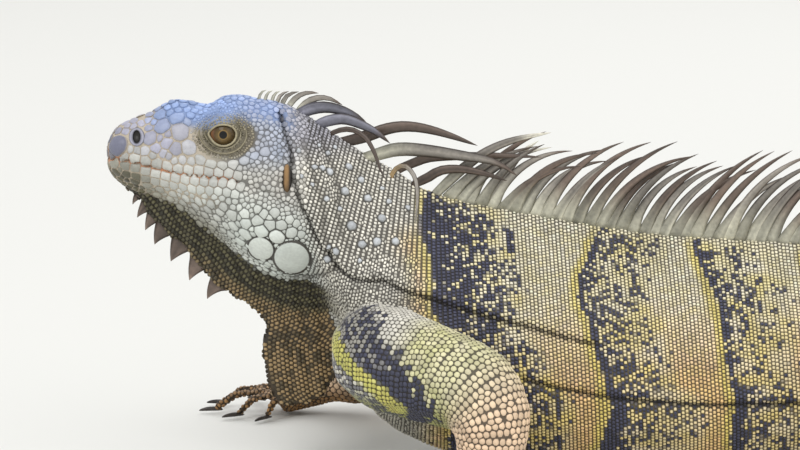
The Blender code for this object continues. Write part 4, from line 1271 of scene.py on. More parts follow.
def planted():
    """The seeds of the whole coat, and the skin they stand on."""
    sizes, chance = scale_sizes(), chances(0)
    surface, seeds = Surface(), Seeds()
    plant_from_sides(surface, seeds, ((*NOSTRIL, 4.0),), "nostril", HEAD_PARTS)
    plant_from_sides(surface, seeds, JOWL_PLATES + SNOUT_PLATES, "shield", HEAD_PARTS)
    plant_lips(surface, seeds)
    plant_from_sides(surface, seeds, TUBERCLES, "cone", BODY_PARTS + [PART["head"]])
    large = len(seeds.places)
    plant_lids(surface, seeds)
    plant_cheeks(surface, seeds)
    columns = ((97, sizes.neck), (150, sizes.trunk), (330, sizes.trunk), (400, 1.25 * sizes.trunk))
    body = body_frames(
        92, 430, lambda x: float(table(columns, x)) / MM, lambda x: 0.30 - 0.36 * float(smooth(120, 168, x)))
    plant_rows(surface, seeds, body, BODY_PARTS, chance)
    for key, path in LIMB_PATHS.items():
        across, growth = (sizes.arm, ARM_GROWTH) if key[0] == "arm" else (sizes.leg, ((0, 1), (1, 1)))
        rows = path_frames(path, 14, path.length - 18, lambda s: across / MM * 0.87 * float(table(growth, s)))
        plant_rows(surface, seeds, rows, LIMB_LABELS[key], chance)
    whorls = path_frames(TAIL, 2, TAIL_LENGTH - 1, lambda s: sizes.tail / MM * (1.15 - 0.5 * s / TAIL_LENGTH))
    plant_rows(surface, seeds, whorls, TAIL_PARTS, chance)
    plant_dewlap(surface, seeds, sizes.dewlap / MM)
    clear_of_plates(seeds, large)
    evened(surface, seeds, plant_between(surface, seeds, chance))
    seeds.close()
    return surface, seeds


# ---- the shape of the scales

def directions(surface, seeds):
    """For each seed: the skin's normal, the lie along the skin, and the way across it."""
    normals = surface.normals[seeds.faces]
    along = unit(seeds.lies - normals * (seeds.lies * normals).sum(1)[:, None])
    return normals, along, np.cross(normals, along)


def neighbours(seeds):
    """The seeds round each seed, as rows of numbers: more of them round a large plate."""
    nearest = tree_of(seeds.places)
    large = np.flatnonzero(seeds.radii > LARGE)
    rows = np.zeros((len(seeds.places), 17), int)
    for k, place in enumerate(seeds.places):
        rows[k, :14] = [j for _, j, _ in nearest.find_n(place, 15)[1:]]
    for start in range(0, len(rows), 4000):
        some = slice(start, start + 4000)
        gap = np.linalg.norm(seeds.places[some, None] - seeds.places[None, large], axis=2) - seeds.radii[large]
        gap[np.arange(start, min(start + 4000, len(rows)))[:, None] == large[None]] = 1e9
        rows[some, 14:] = large[np.argsort(gap, axis=1)[:, :3]]
    plates = np.flatnonzero(seeds.forms >= len(SMALL_FORMS))
    return rows, {k: np.array([j for _, j, _ in nearest.find_n(seeds.places[k], 60)[1:]]) for k in plates}


def reaches(seeds, which, near, ways, normals):
    """How far each scale reaches in each direction before it meets its neighbours."""
    place, radius = seeds.places[which], seeds.radii[which]
    away = seeds.places[near] - place[:, None]
    length = np.linalg.norm(away, axis=2)
    flat = away - normals[which][:, None] * (away * normals[which][:, None]).sum(2)[..., None]
    flat = unit(flat) * length[..., None]
    half = (length**2 + radius[:, None] ** 2 - seeds.radii[near] ** 2) / 2
    turned = (normals[near] * normals[which][:, None]).sum(2)
    forward = np.einsum("nkc,njc->nkj", ways, flat)
    ahead = (forward > 0.05) & (turned > 0.1)[:, None] & (length > 1e-6)[:, None]
    reach = np.where(ahead, half[:, None] / np.where(ahead, forward, 1), 1e9).min(axis=2)
    return np.clip(reach, 0.3 * radius[:, None], FARTHEST * radius[:, None])


def ways_round(which, turns, along, across):
    return (along[which][:, None] * np.cos(turns)[None, :, None]
            + across[which][:, None] * np.sin(turns)[None, :, None])


def small_rings(seeds, which, form, near, frames):
    """The rings of corners of small scales, from the sunk outer one to the raised inner one."""
    normals, along, across = frames
    corner_turns, share, height, crown, lap = SMALL_FORMS[form]
    turns = np.radians(corner_turns)
    ways = ways_round(which, turns, along, across)
    reach = reaches(seeds, which, near, ways, normals)
    place, normal, radius = seeds.places[which], normals[which][:, None], seeds.radii[which]
    outer = place[:, None] + ways * reach[..., None] * 0.99 - normal * 0.2
    lift = radius[:, None] * height * (1 + lap * np.cos(turns)[None])
    inner = place[:, None] + ways * (reach * share)[..., None] + normal * lift[..., None]
    middle = place + normals[which] * (radius * height * crown)[:, None]
    return [outer, inner], middle


def disc_ring(surface, centre, radius, share, height, turns):
    """One ring of a disc, a shallow dome on the plane that lies best on the skin along its edge."""
    sign, middle = math.copysign(1, centre[1]), centre[[0, 2]]
    around = np.stack([np.cos(turns) * 0.97 * radius, np.sin(turns) * 1.04 * radius], axis=1)
    edge, under = (surface.depths(middle + spread, sign, abs(centre[1]) - radius / 2)
                   for spread in (around, around * share))
    plane = edge.mean() + share * sum(way * (edge @ way) / (way @ way) for way in np.ascontiguousarray(around.T))
    dome = plane + max(abs(centre[1]) - edge.mean(), 0.1 * radius) * (1 - share**2)
    depth = np.maximum(dome, under) + 4.5 * height if height > 0 else np.minimum(dome, under) - 0.5
    x, z = (middle + around * share).T
    return np.stack([x, sign * depth, z], axis=1)


def nostril_ring(surface, centre, radius, share, height, turns):
    """One ring of the raised edge of a nostril; the inner ones are narrow and tall."""
    sign = math.copysign(1, centre[1])
    narrow, tall = (0.97, 1.05) if share > 0.8 else (0.74, 1.14)
    outer = np.stack([centre[0] + radius * np.cos(turns), centre[2] + radius * 1.05 * np.sin(turns)], axis=1)
    rim = surface.depths(outer, sign, abs(centre[1]))
    depth = rim.mean() + (rim - rim.mean()) * min(share, 1) + height * radius
    across, up = np.cos(turns) * radius * share * narrow, np.sin(turns) * radius * share * tall
    return np.stack([centre[0] + across, sign * depth, centre[2] + up], axis=1)


SIDE_RINGS = {"disc": disc_ring, "nostril": nostril_ring}


def large_rings(surface, seeds, which, form, wide, frames):
    """The rings of corners of large plates, each laid on the skin."""
    normals, along, across = frames
    turns = np.linspace(0, 2 * math.pi, LARGE_SIDES, endpoint=False)
    ways = ways_round(which, turns, along, across)
    reach = np.stack([
        reaches(seeds, np.array([k]), wide[k][None], ways[n:n + 1], normals)[0] for n, k in enumerate(which)])
    rings = []
    for share, height in LARGE_FORMS[form]:
        ring = seeds.places[which][:, None] + ways * (reach * share)[..., None]
        for n, k in enumerate(which):
            if form in SIDE_RINGS:
                ring[n] = SIDE_RINGS[form](surface, seeds.places[k], seeds.radii[k], share, height, turns)
                continue
            for m in range(LARGE_SIDES):
                foot, _, face, _ = surface.tree.find_nearest(Vector(ring[n, m]))
                normal = unit(surface.normals[face] + normals[k])
                ring[n, m] = np.array(foot) + normal * (height * min(seeds.radii[k], HIGHEST))
        rings.append(ring)
    if form in SIDE_RINGS:
        return rings, rings[-1].mean(axis=1)
    heights = LARGE_MIDDLES[form] * np.minimum(seeds.radii[which], HIGHEST)
    return rings, seeds.places[which] + normals[which] * heights[:, None]


def unwrapped(places, piece):
    """Each place on an unwrap of a piece's own shape, from 0 to 1 both ways."""
    path = PIECES[piece][2]
    s, angle = path.unwrap(places)
    span = max(np.ptp(s), 1e-3)
    return np.stack([0.01 + 0.98 * (s - s.min()) / span, 0.5 + 0.49 * angle / math.pi], axis=1)


def tower_faces(levels, sides):
    """The walls, the top and the bottom of rings that stand on each other under one point."""
    k = np.arange(sides)
    after = (k + 1) % sides
    walls = [np.stack([n * sides + k, n * sides + after, (n + 1) * sides + after, (n + 1) * sides + k], 1)
             for n in range(levels - 1)]
    last = (levels - 1) * sides
    top = np.stack([last + k, last + after, np.full(sides, last + sides)], 1)
    return np.concatenate(walls), top, k[::-1][None]


def stacked(rings, middles, colours, rims, spots, form):
    """Closed bodies from rings and a middle: corners, faces by their number of sides, colours and unwraps."""
    count, sides = rings[0].shape[:2]
    levels = len(rings)
    per = levels * sides + 1
    places = np.concatenate([np.stack(rings, axis=1).reshape(count, -1, 3), middles[:, None]], axis=1)
    shades = np.repeat(colours[:, None], per, axis=1)
    shades[:, :sides] = rims[:, None]
    if levels > 3:
        shades[:, sides:2 * sides] = blend(rims, colours, 0.35)[:, None]
    if form == "disc":
        shades[:, :3 * sides] = rims[:, None]
    # Painted shade: the rings that go down into the nostril are darker, and its bottom is nearly black.
    if form == "nostril":
        shades[:, (levels - 3) * sides:] *= 0.55
        shades[:, (levels - 2) * sides:] = 0.012
    turns = 2 * math.pi * np.arange(sides) / sides
    circle = np.stack([np.cos(turns), np.sin(turns)], axis=1)
    local = np.concatenate([circle * 0.0015 * (1 - 0.8 * n / levels) for n in range(levels)] + [np.zeros((1, 2))])
    beneath = 0.0014 * circle[0] + 0.0001 * circle
    faces, corners = [], []
    for shape, offsets in zip(tower_faces(levels, sides), (local, local, beneath)):
        faces.append((shape[None] + per * np.arange(count)[:, None, None]).reshape(-1, shape.shape[1]))
        corners.append((spots[:, None, None] + offsets[shape][None]).reshape(-1, 2))
    return places.reshape(-1, 3), faces, shades.reshape(-1, 3), corners


def mesh_from(name, parts):
    """One mesh from stacked parts, with its colours and its unwrap."""
    start, loops, sizes = 0, [], []
    for places, faces, _, _ in parts:
        loops += [(shape + start).ravel() for shape in faces]
        sizes += [np.full(len(shape), shape.shape[1]) for shape in faces]
        start += len(places)
    places, shades = (np.concatenate([part[k] for part in parts]) for k in (0, 2))
    spots = np.concatenate([flat for part in parts for flat in part[3]])
    loops, sizes = np.concatenate(loops), np.concatenate(sizes)
    mesh = bpy.data.meshes.new(name)
    mesh.vertices.add(len(places))
    mesh.loops.add(len(loops))
    mesh.polygons.add(len(sizes))
    mesh.loops.foreach_set("vertex_index", loops.astype(np.int32))
    mesh.polygons.foreach_set("loop_start", np.concatenate([[0], np.cumsum(sizes)[:-1]]).astype(np.int32))
    put_places(mesh, places)
    mesh.update(calc_edges=True)
    mesh.uv_layers.new(name="OFBake").data.foreach_set("uv", spots.astype(np.float32).ravel())
    store_colours(mesh, shades)
    return mesh


def rim_colour(places, parts, shades):
    """The colour of the seam round each scale, with painted shade in the folds and round the nostril."""
    c = Palette()
    x, y, z = places.T
    face = np.isin(parts, HEAD_PARTS)
    over, eye = z - table(MOUTH, x), eye_gap(places)
    dark = blend(shades * 0.3, c.groove * 0.7, 0.6)
    dark = np.where(face[:, None], blend(shades * 0.55, c.groove, 0.4), dark)
    pale = (1 - smooth(44, 62, x)) * smooth(-20, -10, over) * smooth(9, 16, eye)
    above = smooth(-13, -7, z - table(RIDGE, x)) * smooth(20, 32, x) * (1 - smooth(84, 96, x))
    lips = bump(over, 0, 2.0) * (1 - smooth(58, 66, x))
    fold = line_distance(np.stack([x, z], axis=1), FOLDS[0][0])[0]
    hole = 1 - smooth(2.2, 3.0, np.hypot((x - NOSTRIL[0]) * 1.3, z - NOSTRIL[1]))
    jowl = bump(np.hypot(x - 82, z - 112), 0, 15) * face * smooth(-1, 3, z - table(JAW_EDGE, x))
    return layered(
        dark, (shades * 0.62, (1 - smooth(12, 15, eye)) * face), (c.seam * 0.8, pale * (1 - above) * face),
        (c.crown * 0.85, 0.75 * above * face), (c.lip, np.clip(lips * 1.2, 0, 0.85) * face),
        # Painted shade: darker seams along the fold behind the head, along the long folds of the flank and round the
        # nostril; the dark seams of the jowl plates are their own colour.
        (c.groove * 0.3, bump(fold, 0, 1.1) * (np.abs(y) > 6)),
        (c.groove * 0.3, bump(flank_fold(places), 0, 1.6) * np.isin(parts, BODY_PARTS)),
        (c.groove * 0.2, hole * face), (c.groove * 0.7, np.clip(jowl * 1.2, 0, 0.9)))


def piece_of(surface, seeds):
    """The name of the coat piece each seed belongs to."""
    parts, x = surface.parts[seeds.faces], seeds.places[:, 0]
    made = np.full(len(parts), "scales_trunk_1", dtype="<U24")
    for number, start in enumerate(TRUNK_CUTS, start=2):
        made[(parts == PART["trunk"]) & (x >= start)] = f"scales_trunk_{number}"
    owners = {"head": HEAD_PARTS, "neck": [PART["neck"]], "dewlap": [PART["dewlap"]],
              "tail_1": TAIL_PARTS[:2], "tail_2": TAIL_PARTS[2:]}
    for kind, side in LIMB_PATHS:
        owners[f"{kind}_{side}"] = LIMB_LABELS[kind, side]
        owners[f"{PAW_NAME[kind]}_{side}"] = [PAW_LABEL[kind, side]]
    for name, labels in owners.items():
        made[np.isin(parts, labels)] = f"scales_{name}"
    large = seeds.forms >= len(SMALL_FORMS)
    made[large] = np.where(seeds.forms[large] == FORM_NAMES.index("cone"), "tubercles_neck", "plates_head")
    return made


# Each coat piece: its finish, its slot, and the line it unwraps round.
PIECES = {
    "scales_head": ("plates", "skin_face", BODY), "plates_head": ("plates", "skin_face", BODY),
    "scales_neck": ("scales", "skin_neck", BODY), "tubercles_neck": ("plates", "skin_neck", BODY),
    "scales_dewlap": ("scales", "skin_dewlap", BODY),
    **{f"scales_trunk_{k}": ("scales", "skin_trunk", BODY) for k in range(1, 5)},
    **{f"scales_tail_{k}": ("scales", "skin_tail", TAIL) for k in (1, 2)},
    **{f"scales_{name}_{side}": ("scales", "skin_limb", LIMB_PATHS[limb, side])
       for name, limb in (("arm", "arm"), ("hand", "arm"), ("leg", "leg"), ("foot", "leg")) for side, _ in SIDES},
}


def settled(obj, finish_name, slot):
    """Gives a finished piece its finish and its body; its slot is not used."""
    obj.data.materials.append(finish(finish_name))
    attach(obj, "root")
    return obj


def build_coat():
    """All the scales and plates, as joined meshes."""
    surface, seeds = planted()
    c, parts = Palette(), surface.parts[seeds.faces]
    tones = chances(1).random(len(parts))
    shades = marking_and_shade(seeds.places, parts, tones)
    rims = rim_colour(seeds.places, parts, shades)
    beside = np.abs(seeds.places[:, 1]) > 6
    # Painted shade: the scales along the fold behind the head, the long folds of the flank and the other folds of the
    # neck are darkened.
    behind_head, *others = (line_distance(seeds.places[:, [0, 2]], line)[0] for line, _, _ in FOLDS[:4])
    shades = layered(
        shades, (c.groove * 0.5, 0.85 * bump(behind_head, 0, 0.8) * beside),
        (c.groove * 0.6, 0.8 * bump(flank_fold(seeds.places), 0, 1.1) * np.isin(parts, BODY_PARTS)),
        *((c.groove, 0.6 * bump(fold, 0, 1.0) * beside) for fold in others))
    pointed = seeds.forms == FORM_NAMES.index("cone")
    shades[pointed] = c.tubercle * (0.85 + 0.3 * tones[pointed, None])
    frames = directions(surface, seeds)
    near, wide = neighbours(seeds)
    owner = piece_of(surface, seeds)
    for piece, (finish_name, slot, _) in PIECES.items():
        made = []
        inside = np.flatnonzero(owner == piece)
        spots = np.zeros((len(seeds.places), 2))
        spots[inside] = unwrapped(seeds.places[inside], piece)
        for number, form in enumerate(FORM_NAMES):
            which = inside[seeds.forms[inside] == number]
            if not len(which):
                continue
            if form in SMALL_FORMS:
                rings, middles = small_rings(seeds, which, form, near[which], frames)
            else:
                rings, middles = large_rings(surface, seeds, which, form, wide, frames)
            made.append(stacked(rings, middles, shades[which], rims[which], spots[which], form))
        mesh = mesh_from(piece, made)
        if finish_name == "plates":
            mesh.shade_smooth()
        settled(made_object(piece, mesh), finish_name, slot)


# ---- crest and throat spines

# The spines of the nape and the shoulder: their middle lines as (x, y, z), greatest width, and shade.
NAPE_SPINES = (
    (((73.6, 0, 181.4), (74.8, 0, 183.4), (77, 0, 184.2)), 1.5, "root"),
    (((76.6, 0, 180.6), (77.6, 0, 183), (80, 0, 183.9)), 1.6, "root"),
    (((79.8, 0, 179.6), (80.9, 0, 182.6), (83.6, 0, 183.7)), 1.7, "root"),
    (((82.2, 0, 178.8), (83.8, 0, 182.2), (87.7, 0, 183.6)), 2.0, "pale"),
    (((84.6, 0, 178), (87, 0, 182.2), (92.5, 0, 183.4)), 2.4, "pale"),
    (((87.6, 0, 176.6), (92, 0, 181.6), (97, -0.5, 183.2), (102, -1, 182.8)), 2.9, "pale"),
    (((92, 0, 174), (96.4, 0, 178.6), (101, -0.5, 180.6), (107, -1, 180.6), (113.4, -2, 177.2)), 3.4, "pale"),
    (((92, -1, 172.4), (98, -1, 175.4), (106.7, -2, 176.6), (118.2, -3, 173.2), (125.8, -4, 168)), 6.0, "slate"),
    (((101, -2, 167.6), (107, -3, 170), (114.4, -4, 171.2), (122, -5, 168.4), (129.6, -6, 165),
      (136.2, -7, 159.4)), 5.6, "blue"),
    (((107, -3, 163.2), (112, -4, 165.6), (118.3, -5, 166.2), (125, -9, 162.6), (129.3, -13, 155),
      (131.2, -15, 148.3), (134.1, -18, 143.6)), 2.6, "dark"),
    (((112, 0, 158.6), (120, 0, 160.4), (126, 0, 162.2), (135.2, -1, 166), (144.8, -2, 167.2), (156.2, -3, 165.4),
      (166.6, -4, 162.2), (173.3, -5, 159.8), (178, -5, 158)), 6.0, "brown"),
    (((124, -2, 151.4), (130.5, -3, 153.6), (140, -4, 156.6), (154.3, -5, 155.6), (168.5, -6, 153.6),
      (182.8, -7, 151.6), (190.4, -8, 148.8), (197, -9, 144)), 6.8, "pale"),
    (((139, 3, 145), (146.6, 2, 148.2), (153, 1, 151), (160, 0, 152), (175, -2, 152.6), (190, -3, 153),
      (208.7, -4, 152.3)), 4.6, "dark"),
    (((137, -4, 144.6), (140.4, -6, 148.6), (144.4, -10, 149), (148.6, -15, 144), (149.4, -18.6, 135),
      (148.2, -22.5, 123)), 2.4, "limp"),
    (((148, -2, 139.4), (154.3, -3, 142), (159.9, -4, 146.2), (169.5, -5, 147), (180.9, -6, 145), (192.3, -7, 141.2)),
     4.8, "brown"),
    (((156.4, 0, 132), (160, -1, 136), (171.3, -2, 147), (182.8, -3, 155.6), (196, -4, 161.2), (213.2, -5, 164.4)),
     5.2, "tipped"),
    (((180, 0, 127.6), (183, 0, 131.6), (191.3, 1, 143), (199.9, 2, 154.4), (207.5, 2, 159.4)), 4.6, "tipped"),
)
BACK_START, BACK_END, CREST_SUNK = 164.0, 426.0, 2.4
SPINE_STEP = ((160, 5.1), (340, 5.1), (428, 7))
SPINE_LENGTH = ((165, 47), (185, 52), (215, 55), (320, 58), (375, 38), (428, 14))
SPINE_ROOT = ((156, 48), (170, 64), (215, 72), (330, 73), (380, 60), (428, 30))
SPINE_TIP = ((156, 4), (170, 8), (215, 14), (330, 16), (428, -10))
TAIL_CREST, TAIL_CREST_PITCH, TAIL_SPINE_FIRST, TAIL_SPINE_LAST = 140.0, 6.0, 15.0, 3.0
# The section of a blade as (share of its width, share of its thickness), from its front edge round.
BLADE_SECTION = (
    (-0.5, 0), (-0.28, 0.46), (0.0, 0.6), (0.28, 0.42), (0.5, 0), (0.28, -0.42), (0.0, -0.6), (-0.28, -0.46))
BLADE_THICKNESS = 0.26
# The spines of the throat fold: the height of each, its width and its length.
GULAR_SPINES = (
    (132.4, 3.4, 3.4), (127.3, 5.2, 5.4), (122.5, 6.2, 6.4), (117.0, 8.6, 8.2), (109.5, 9.4, 9.0), (99.9, 8.2, 8.4),
    (89.6, 7.6, 7.8))


def curved(start, rise, end_rise, length, side=(0, 1, 0), ahead=(1, 0, 0), steps=9):
    """Points of a line that leaves its start at a rise in degrees and curves to another one."""
    side, ahead = np.array(side, float), np.array(ahead, float)
    up = np.cross(ahead, side)
    place, points = np.array(start, float), [np.array(start, float)]
    for k in range(steps):
        angle = math.radians(rise + (end_rise - rise) * (k + 0.5) / steps)
        place = place + (ahead * math.cos(angle) + up * math.sin(angle)) * length / steps
        points.append(place)
    return np.array(points)


def blade(points, width, shades, fullness=0.75, power=2.2, root=0.8, side=(0, 1, 0), step=3.6,
          thick=BLADE_THICKNESS):
    """A curved blade round a line, with a root, two edges and a point; shades are its root, body, edge and tip."""
    line = rounded(points, 2)
    run = run_along(line)
    t = np.linspace(0, 1, max(5, int(run[-1] / step) + 2))
    spine = places_at(line, run, t * run[-1])
    tangents = unit(np.gradient(spine, axis=0))
    across = unit(np.array(side, float) - tangents * (tangents @ np.array(side, float))[:, None])
    chord = np.cross(across, tangents)
    wide = width * (np.clip(1 - t**power, 0, 1) ** fullness) * (root + (1 - root) * np.minimum(1, t / 0.2)) + 0.12
    section = np.array(BLADE_SECTION)
    rings = (spine[:, None] - chord[:, None] * (section[:, 0] * wide[:, None])[..., None]
             + across[:, None] * (section[:, 1] * np.minimum(wide, 4)[:, None] * thick)[..., None])
    foot, body, edge, tip = shades
    rim = np.abs(section[:, 0])[None] > 0.4
    colours = np.where(rim[..., None], edge, body) * np.ones((len(t), 1, 1))
    colours = colours + (foot - colours) * (1 - smooth(0.04, 0.42, t))[:, None, None]
    colours = colours + (tip - colours) * smooth(0.72, 0.92, t)[:, None, None]
    return rings, spine[-1], colours


def blades_mesh(name, blades, chance):
    """Many blades as one mesh; each has its own square of the unwrap."""
    parts, sides = [], len(BLADE_SECTION)
    columns = math.ceil(math.sqrt(len(blades)))
    size = 0.96 / columns
    k = np.arange(sides)
    turns = k * 2 * math.pi / sides
    for number, (rings, point, colours) in enumerate(blades):
        stations = len(rings)
        streaks = 0.6 + 0.8 * chance.random(sides)
        colours = np.clip(colours * streaks[None, :, None] * chance.uniform(0.85, 1.15), 0.003, 0.95)
        corner = np.array([number % columns, number // columns]) / columns

        def spots(*corners):
            """The corners of faces that stand side by side, each given as its turn and its row."""
            flat = [np.stack(np.broadcast_arrays(0.01 + turn / sides, 0.03 + 0.93 * row / stations), -1)
                    for turn, row in corners]
            return (corner + np.stack(flat, -2) * size).reshape(-1, 2)

        row, turn, top = (np.arange(stations - 1)[:, None] + 0.0 * k, 0.0 + k, stations - 1.0)
        base = corner + size * 0.02 * np.stack([np.cos(turns), np.sin(turns)], 1)
        parts.append((
            np.concatenate([rings.reshape(-1, 3), point[None]]), tower_faces(stations, sides),
            np.concatenate([colours.reshape(-1, 3), colours[-1, :1]]),
            [spots((turn, row), (turn + 1, row), (turn + 1, row + 1), (turn, row + 1)),
             spots((turn, top), (turn + 1, top), (turn + 0.5, top + 1)), base[::-1]]))
    return mesh_from(name, parts)


def build_crest():
    """The spines of the nape, the back and the tail's base, and those of the throat fold."""
    chance, surface, c = chances(2), Surface(), Palette()
    root, grey, dark = c.spine_root, c.spine, c.spine_dark
    kinds = {
        "root": (root * 0.8, root * 0.75, grey * 0.8, root),
        "pale": (root * 0.9, grey, dark * 0.8, dark * 1.3),
        "dark": (dark, dark * 1.15, dark * 0.5, dark * 0.8),
        "blue": (c.snout * 0.6, c.snout * 0.5, dark * 0.6, dark),
        "slate": (c.snout * 0.5, c.snout * 0.26, dark * 0.5, dark * 0.7),
        "brown": (dark * 0.8, dark * 1.35, dark * 0.55, dark * 0.8),
        "smoky": (root * 0.7, dark * 1.6, dark * 0.6, dark),
        "limp": (c.dewlap * 1.3, grey * 1.3, dark, grey * 1.2),
        "tipped": (root * 0.8, grey * 0.95, dark * 0.8, c.spine_tip),
        "throat": (dark, dark * 1.5, dark, dark * 2.0),
    }
    blades = []
    for points, width, kind in NAPE_SPINES:
        x, y, z = points[0]
        top = surface.hit((x, y, OVERHEAD), (0, 0, -1))[0]
        if top is not None and z > top[2] - 1:  # its root would stand clear of the skin
            points = ((x - 0.6, y, top[2] - 1.6), *points)
        blades.append(blade(points, width, kinds[kind]))
    x = BACK_START
    while x < BACK_END:
        length = float(table(SPINE_LENGTH, x)) * chance.uniform(0.8, 1.14)
        rise = float(table(SPINE_ROOT, x)) + chance.uniform(-7, 7)
        end_rise = float(table(SPINE_TIP, x)) + chance.uniform(-13, 13)
        lean = math.radians(chance.uniform(-8, 8))
        side = (0, math.cos(lean), math.sin(lean))
        points = curved((x, 0, float(table(RIDGE, x)) - CREST_SUNK), rise, end_rise, length, side)
        kind = "tipped" if chance.random() < TIPPED else "smoky" if chance.random() < SMOKY else "pale"
        blades.append(blade(points, min(5.2, 1.8 + 0.13 * length), kinds[kind], 0.85, 1.35, 1.35, side))
        x += float(table(SPINE_STEP, x)) * chance.uniform(0.85, 1.15)
    s = TAIL_CREST_PITCH
    while s < TAIL_CREST:
        place, tangent, _, up = TAIL.frame(s)
        side = np.cross(up, tangent)
        length = TAIL_SPINE_FIRST + (TAIL_SPINE_LAST - TAIL_SPINE_FIRST) * s / TAIL_CREST
        points = curved(place + up * (tail_height(s) - 2), 30, 10, length, side, tangent, 5)
        blades.append(blade(points, 3.4, kinds["pale"], side=side))
        s += TAIL_CREST_PITCH
    settled(made_object("crest", blades_mesh("crest", blades, chance)), "crest", "skin_trunk")
    blades = []
    for z, width, length in GULAR_SPINES:
        start = (float(table(DEWLAP_FRONT, z)) + 3, 0, z + 1)
        points = curved(start, chance.uniform(-140, -130), chance.uniform(-118, -106), length + 2.4)
        blades.append(blade(points, 1.35 * width, kinds["throat"], 1.0, 1.0, 1.1, step=1.4, thick=0.2))
    settled(made_object("throat_spines", blades_mesh("throat_spines", blades, chance)), "crest", "skin_dewlap")


# ---- eyes, lids, ears and claws

PUPIL, GOLD_RING, IRIS_EDGE = 15.0, 19.0, 62.0  # angles from the eye's axis, in degrees
CORNEA_BULGE = 0.35
EYE_PROFILE = (0, 6, 11, 14, 15.5, 18, 20.5, 22.5, 26, 31, 37, 43, 49, 55, 61, 67, 75, 90, 110, 130, 150, 168, 180)
EAR_WIDTH, EAR_SUNK = 0.56, 1.6  # how much of the disc's width shows, and how far it stands in
CLAW_ROOT = 5.0  # how much longer each claw is, towards the toe
# The edge of the lids and the folds round it: the distance from the gap, the radius, and how light each is.
LID_TUBES = ((0.4, 0.52, 1.4), (1.8, 0.42, 0.85), (3.9, 0.46, 0.9))
LID_STRIP = 0.18  # how much of the unwrap each takes


def mesh_colours(mesh, colours):
    store_colours(mesh, np.clip(colours, 0.002, 0.95))


def build_eyes():
    """The eyeballs, each turned from a profile round its axis, with a pupil and a golden iris."""
    c = Palette()
    for side, sign in SIDES:
        bm, profile = bmesh.new(), []
        for angle in EYE_PROFILE:
            a, reach = math.radians(angle), EYE_RADIUS - 0.1 + CORNEA_BULGE * float(bump(angle, 0, 30))
            profile.append(bm.verts.new(EYES[side] + np.array([math.sin(a), sign * math.cos(a), 0]) * reach))
        edges = [bm.edges.new(pair) for pair in zip(profile, profile[1:])]
        bmesh.ops.spin(bm, geom=profile + edges, cent=EYES[side], axis=(0, 1, 0), angle=2 * math.pi, steps=72,
                       use_merge=True)
        bmesh.ops.remove_doubles(bm, verts=bm.verts, dist=1e-4)
        bmesh.ops.recalc_face_normals(bm, faces=bm.faces)
        mesh = mesh_of(bm, f"eyeball_{side}")
        angle, turn, _ = eye_polar(vertex_places(mesh), side)
        fibres = 0.75 + 0.5 * noise(np.stack([np.cos(turn) * 9, np.sin(turn) * 9, angle / 12], 1), 1.0, 31)
        shade = blend(c.iris, c.iris * 0.4, smooth(22, 40, angle)) * fibres[:, None]
        front = bump(np.abs(turn), math.pi, 0.8) * smooth(30, 50, angle)
        # The iris is darker towards its top: painted shadow of the upper lid.
        shade = blend(shade, c.lip * 0.8, front * 0.4) * (1 - 0.4 * smooth(0.1, 1, np.sin(turn)))[:, None]
        gold = smooth(PUPIL, PUPIL + 1, angle) * (1 - smooth(GOLD_RING - 2, GOLD_RING + 1, angle))
        pupil = np.full((len(angle), 3), 0.003)
        mesh_colours(mesh, layered(
            shade, (c.iris * 2.0, gold), (c.iris * 0.2, smooth(IRIS_EDGE - 8, IRIS_EDGE, angle)),
            (pupil, 1 - smooth(PUPIL - 0.5, PUPIL + 0.5, angle))))
        mesh.shade_smooth()
        obj = settled(made_object(f"eyeball_{side}", mesh), "wet eye", "eye")
        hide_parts(f"eye_{side}")


def ring_tube(points, normals, radii, shades, low, sides=12):
    """A closed ring of round section, as corners, faces and colours for mesh_from."""
    tangents = unit(np.roll(points, -1, axis=0) - np.roll(points, 1, axis=0))
    out = unit(normals - tangents * (normals * tangents).sum(1)[:, None])
    across = np.cross(tangents, out)
    turns = np.linspace(0, 2 * math.pi, sides, endpoint=False)
    places = points[:, None] + ways_round(slice(None), turns, out, across) * radii[:, None, None]
    count = len(points)
    n, k = np.arange(count)[:, None], np.arange(sides)[None]
    after, around = (n + 1) % count, (k + 1) % sides
    faces = np.stack([n * sides + k, n * sides + around, after * sides + around, after * sides + k], 2)
    spots = np.stack([np.stack([(n + a) / count + 0 * k, low + LID_STRIP * (k + b) / sides + 0 * n], -1)
                      for a, b in ((0, 0), (0, 1), (1, 1), (1, 0))], 2)
    return (places.reshape(-1, 3), [faces.reshape(-1, 4)[:, ::-1]], np.repeat(shades, sides, axis=0),
            [spots.reshape(-1, 4, 2)[:, ::-1].reshape(-1, 2)])


def build_lids():
    """The thick edges of the eyelids and the folds beside them."""
    c, surface = Palette(), Surface()
    turns = np.linspace(-math.pi, math.pi, 112, endpoint=False)
    upper = smooth(-0.1, 0.5, np.sin(turns))
    for side, sign in SIDES:
        parts = []
        for row, (outside, radius, shade) in enumerate(LID_TUBES):
            across, up = lid_line(turns, outside)
            hits = [surface.from_side(x, z, sign) for x, z in zip(EYES[side][0] + across, EYES[side][2] + up)]
            points = np.array([place for place, _ in hits])
            normals = surface.normals[[face for _, face in hits]]
            for _ in range(3):
                points, normals = ((np.roll(line, 1, axis=0) + line + np.roll(line, -1, axis=0)) / 3
                                   for line in (points, normals))
            uneven = 0.75 + 0.5 * noise(points, 4.0, 38)
            radii = radius * (1 - (0.1 if row == 0 else 0.8) * upper) * (1 if row == 0 else uneven)
            colours = c.lid * shade * (0.8 + 0.4 * noise(points, 1.0, 33))[:, None]
            sunk = 0.1 - (0 if row == 0 else 0.7) * upper[:, None]
            parts.append(ring_tube(points + normals * sunk, normals, radii, colours, row / len(LID_TUBES)))
        mesh = mesh_from(f"lids_{side}", parts)
        bm = bmesh.new()
        bm.from_mesh(mesh)
        bmesh.ops.recalc_face_normals(bm, faces=bm.faces)
        bm.to_mesh(mesh)
        bm.free()
        mesh.shade_smooth()
        settled(made_object(f"lids_{side}", mesh), "lid skin", "skin_face")


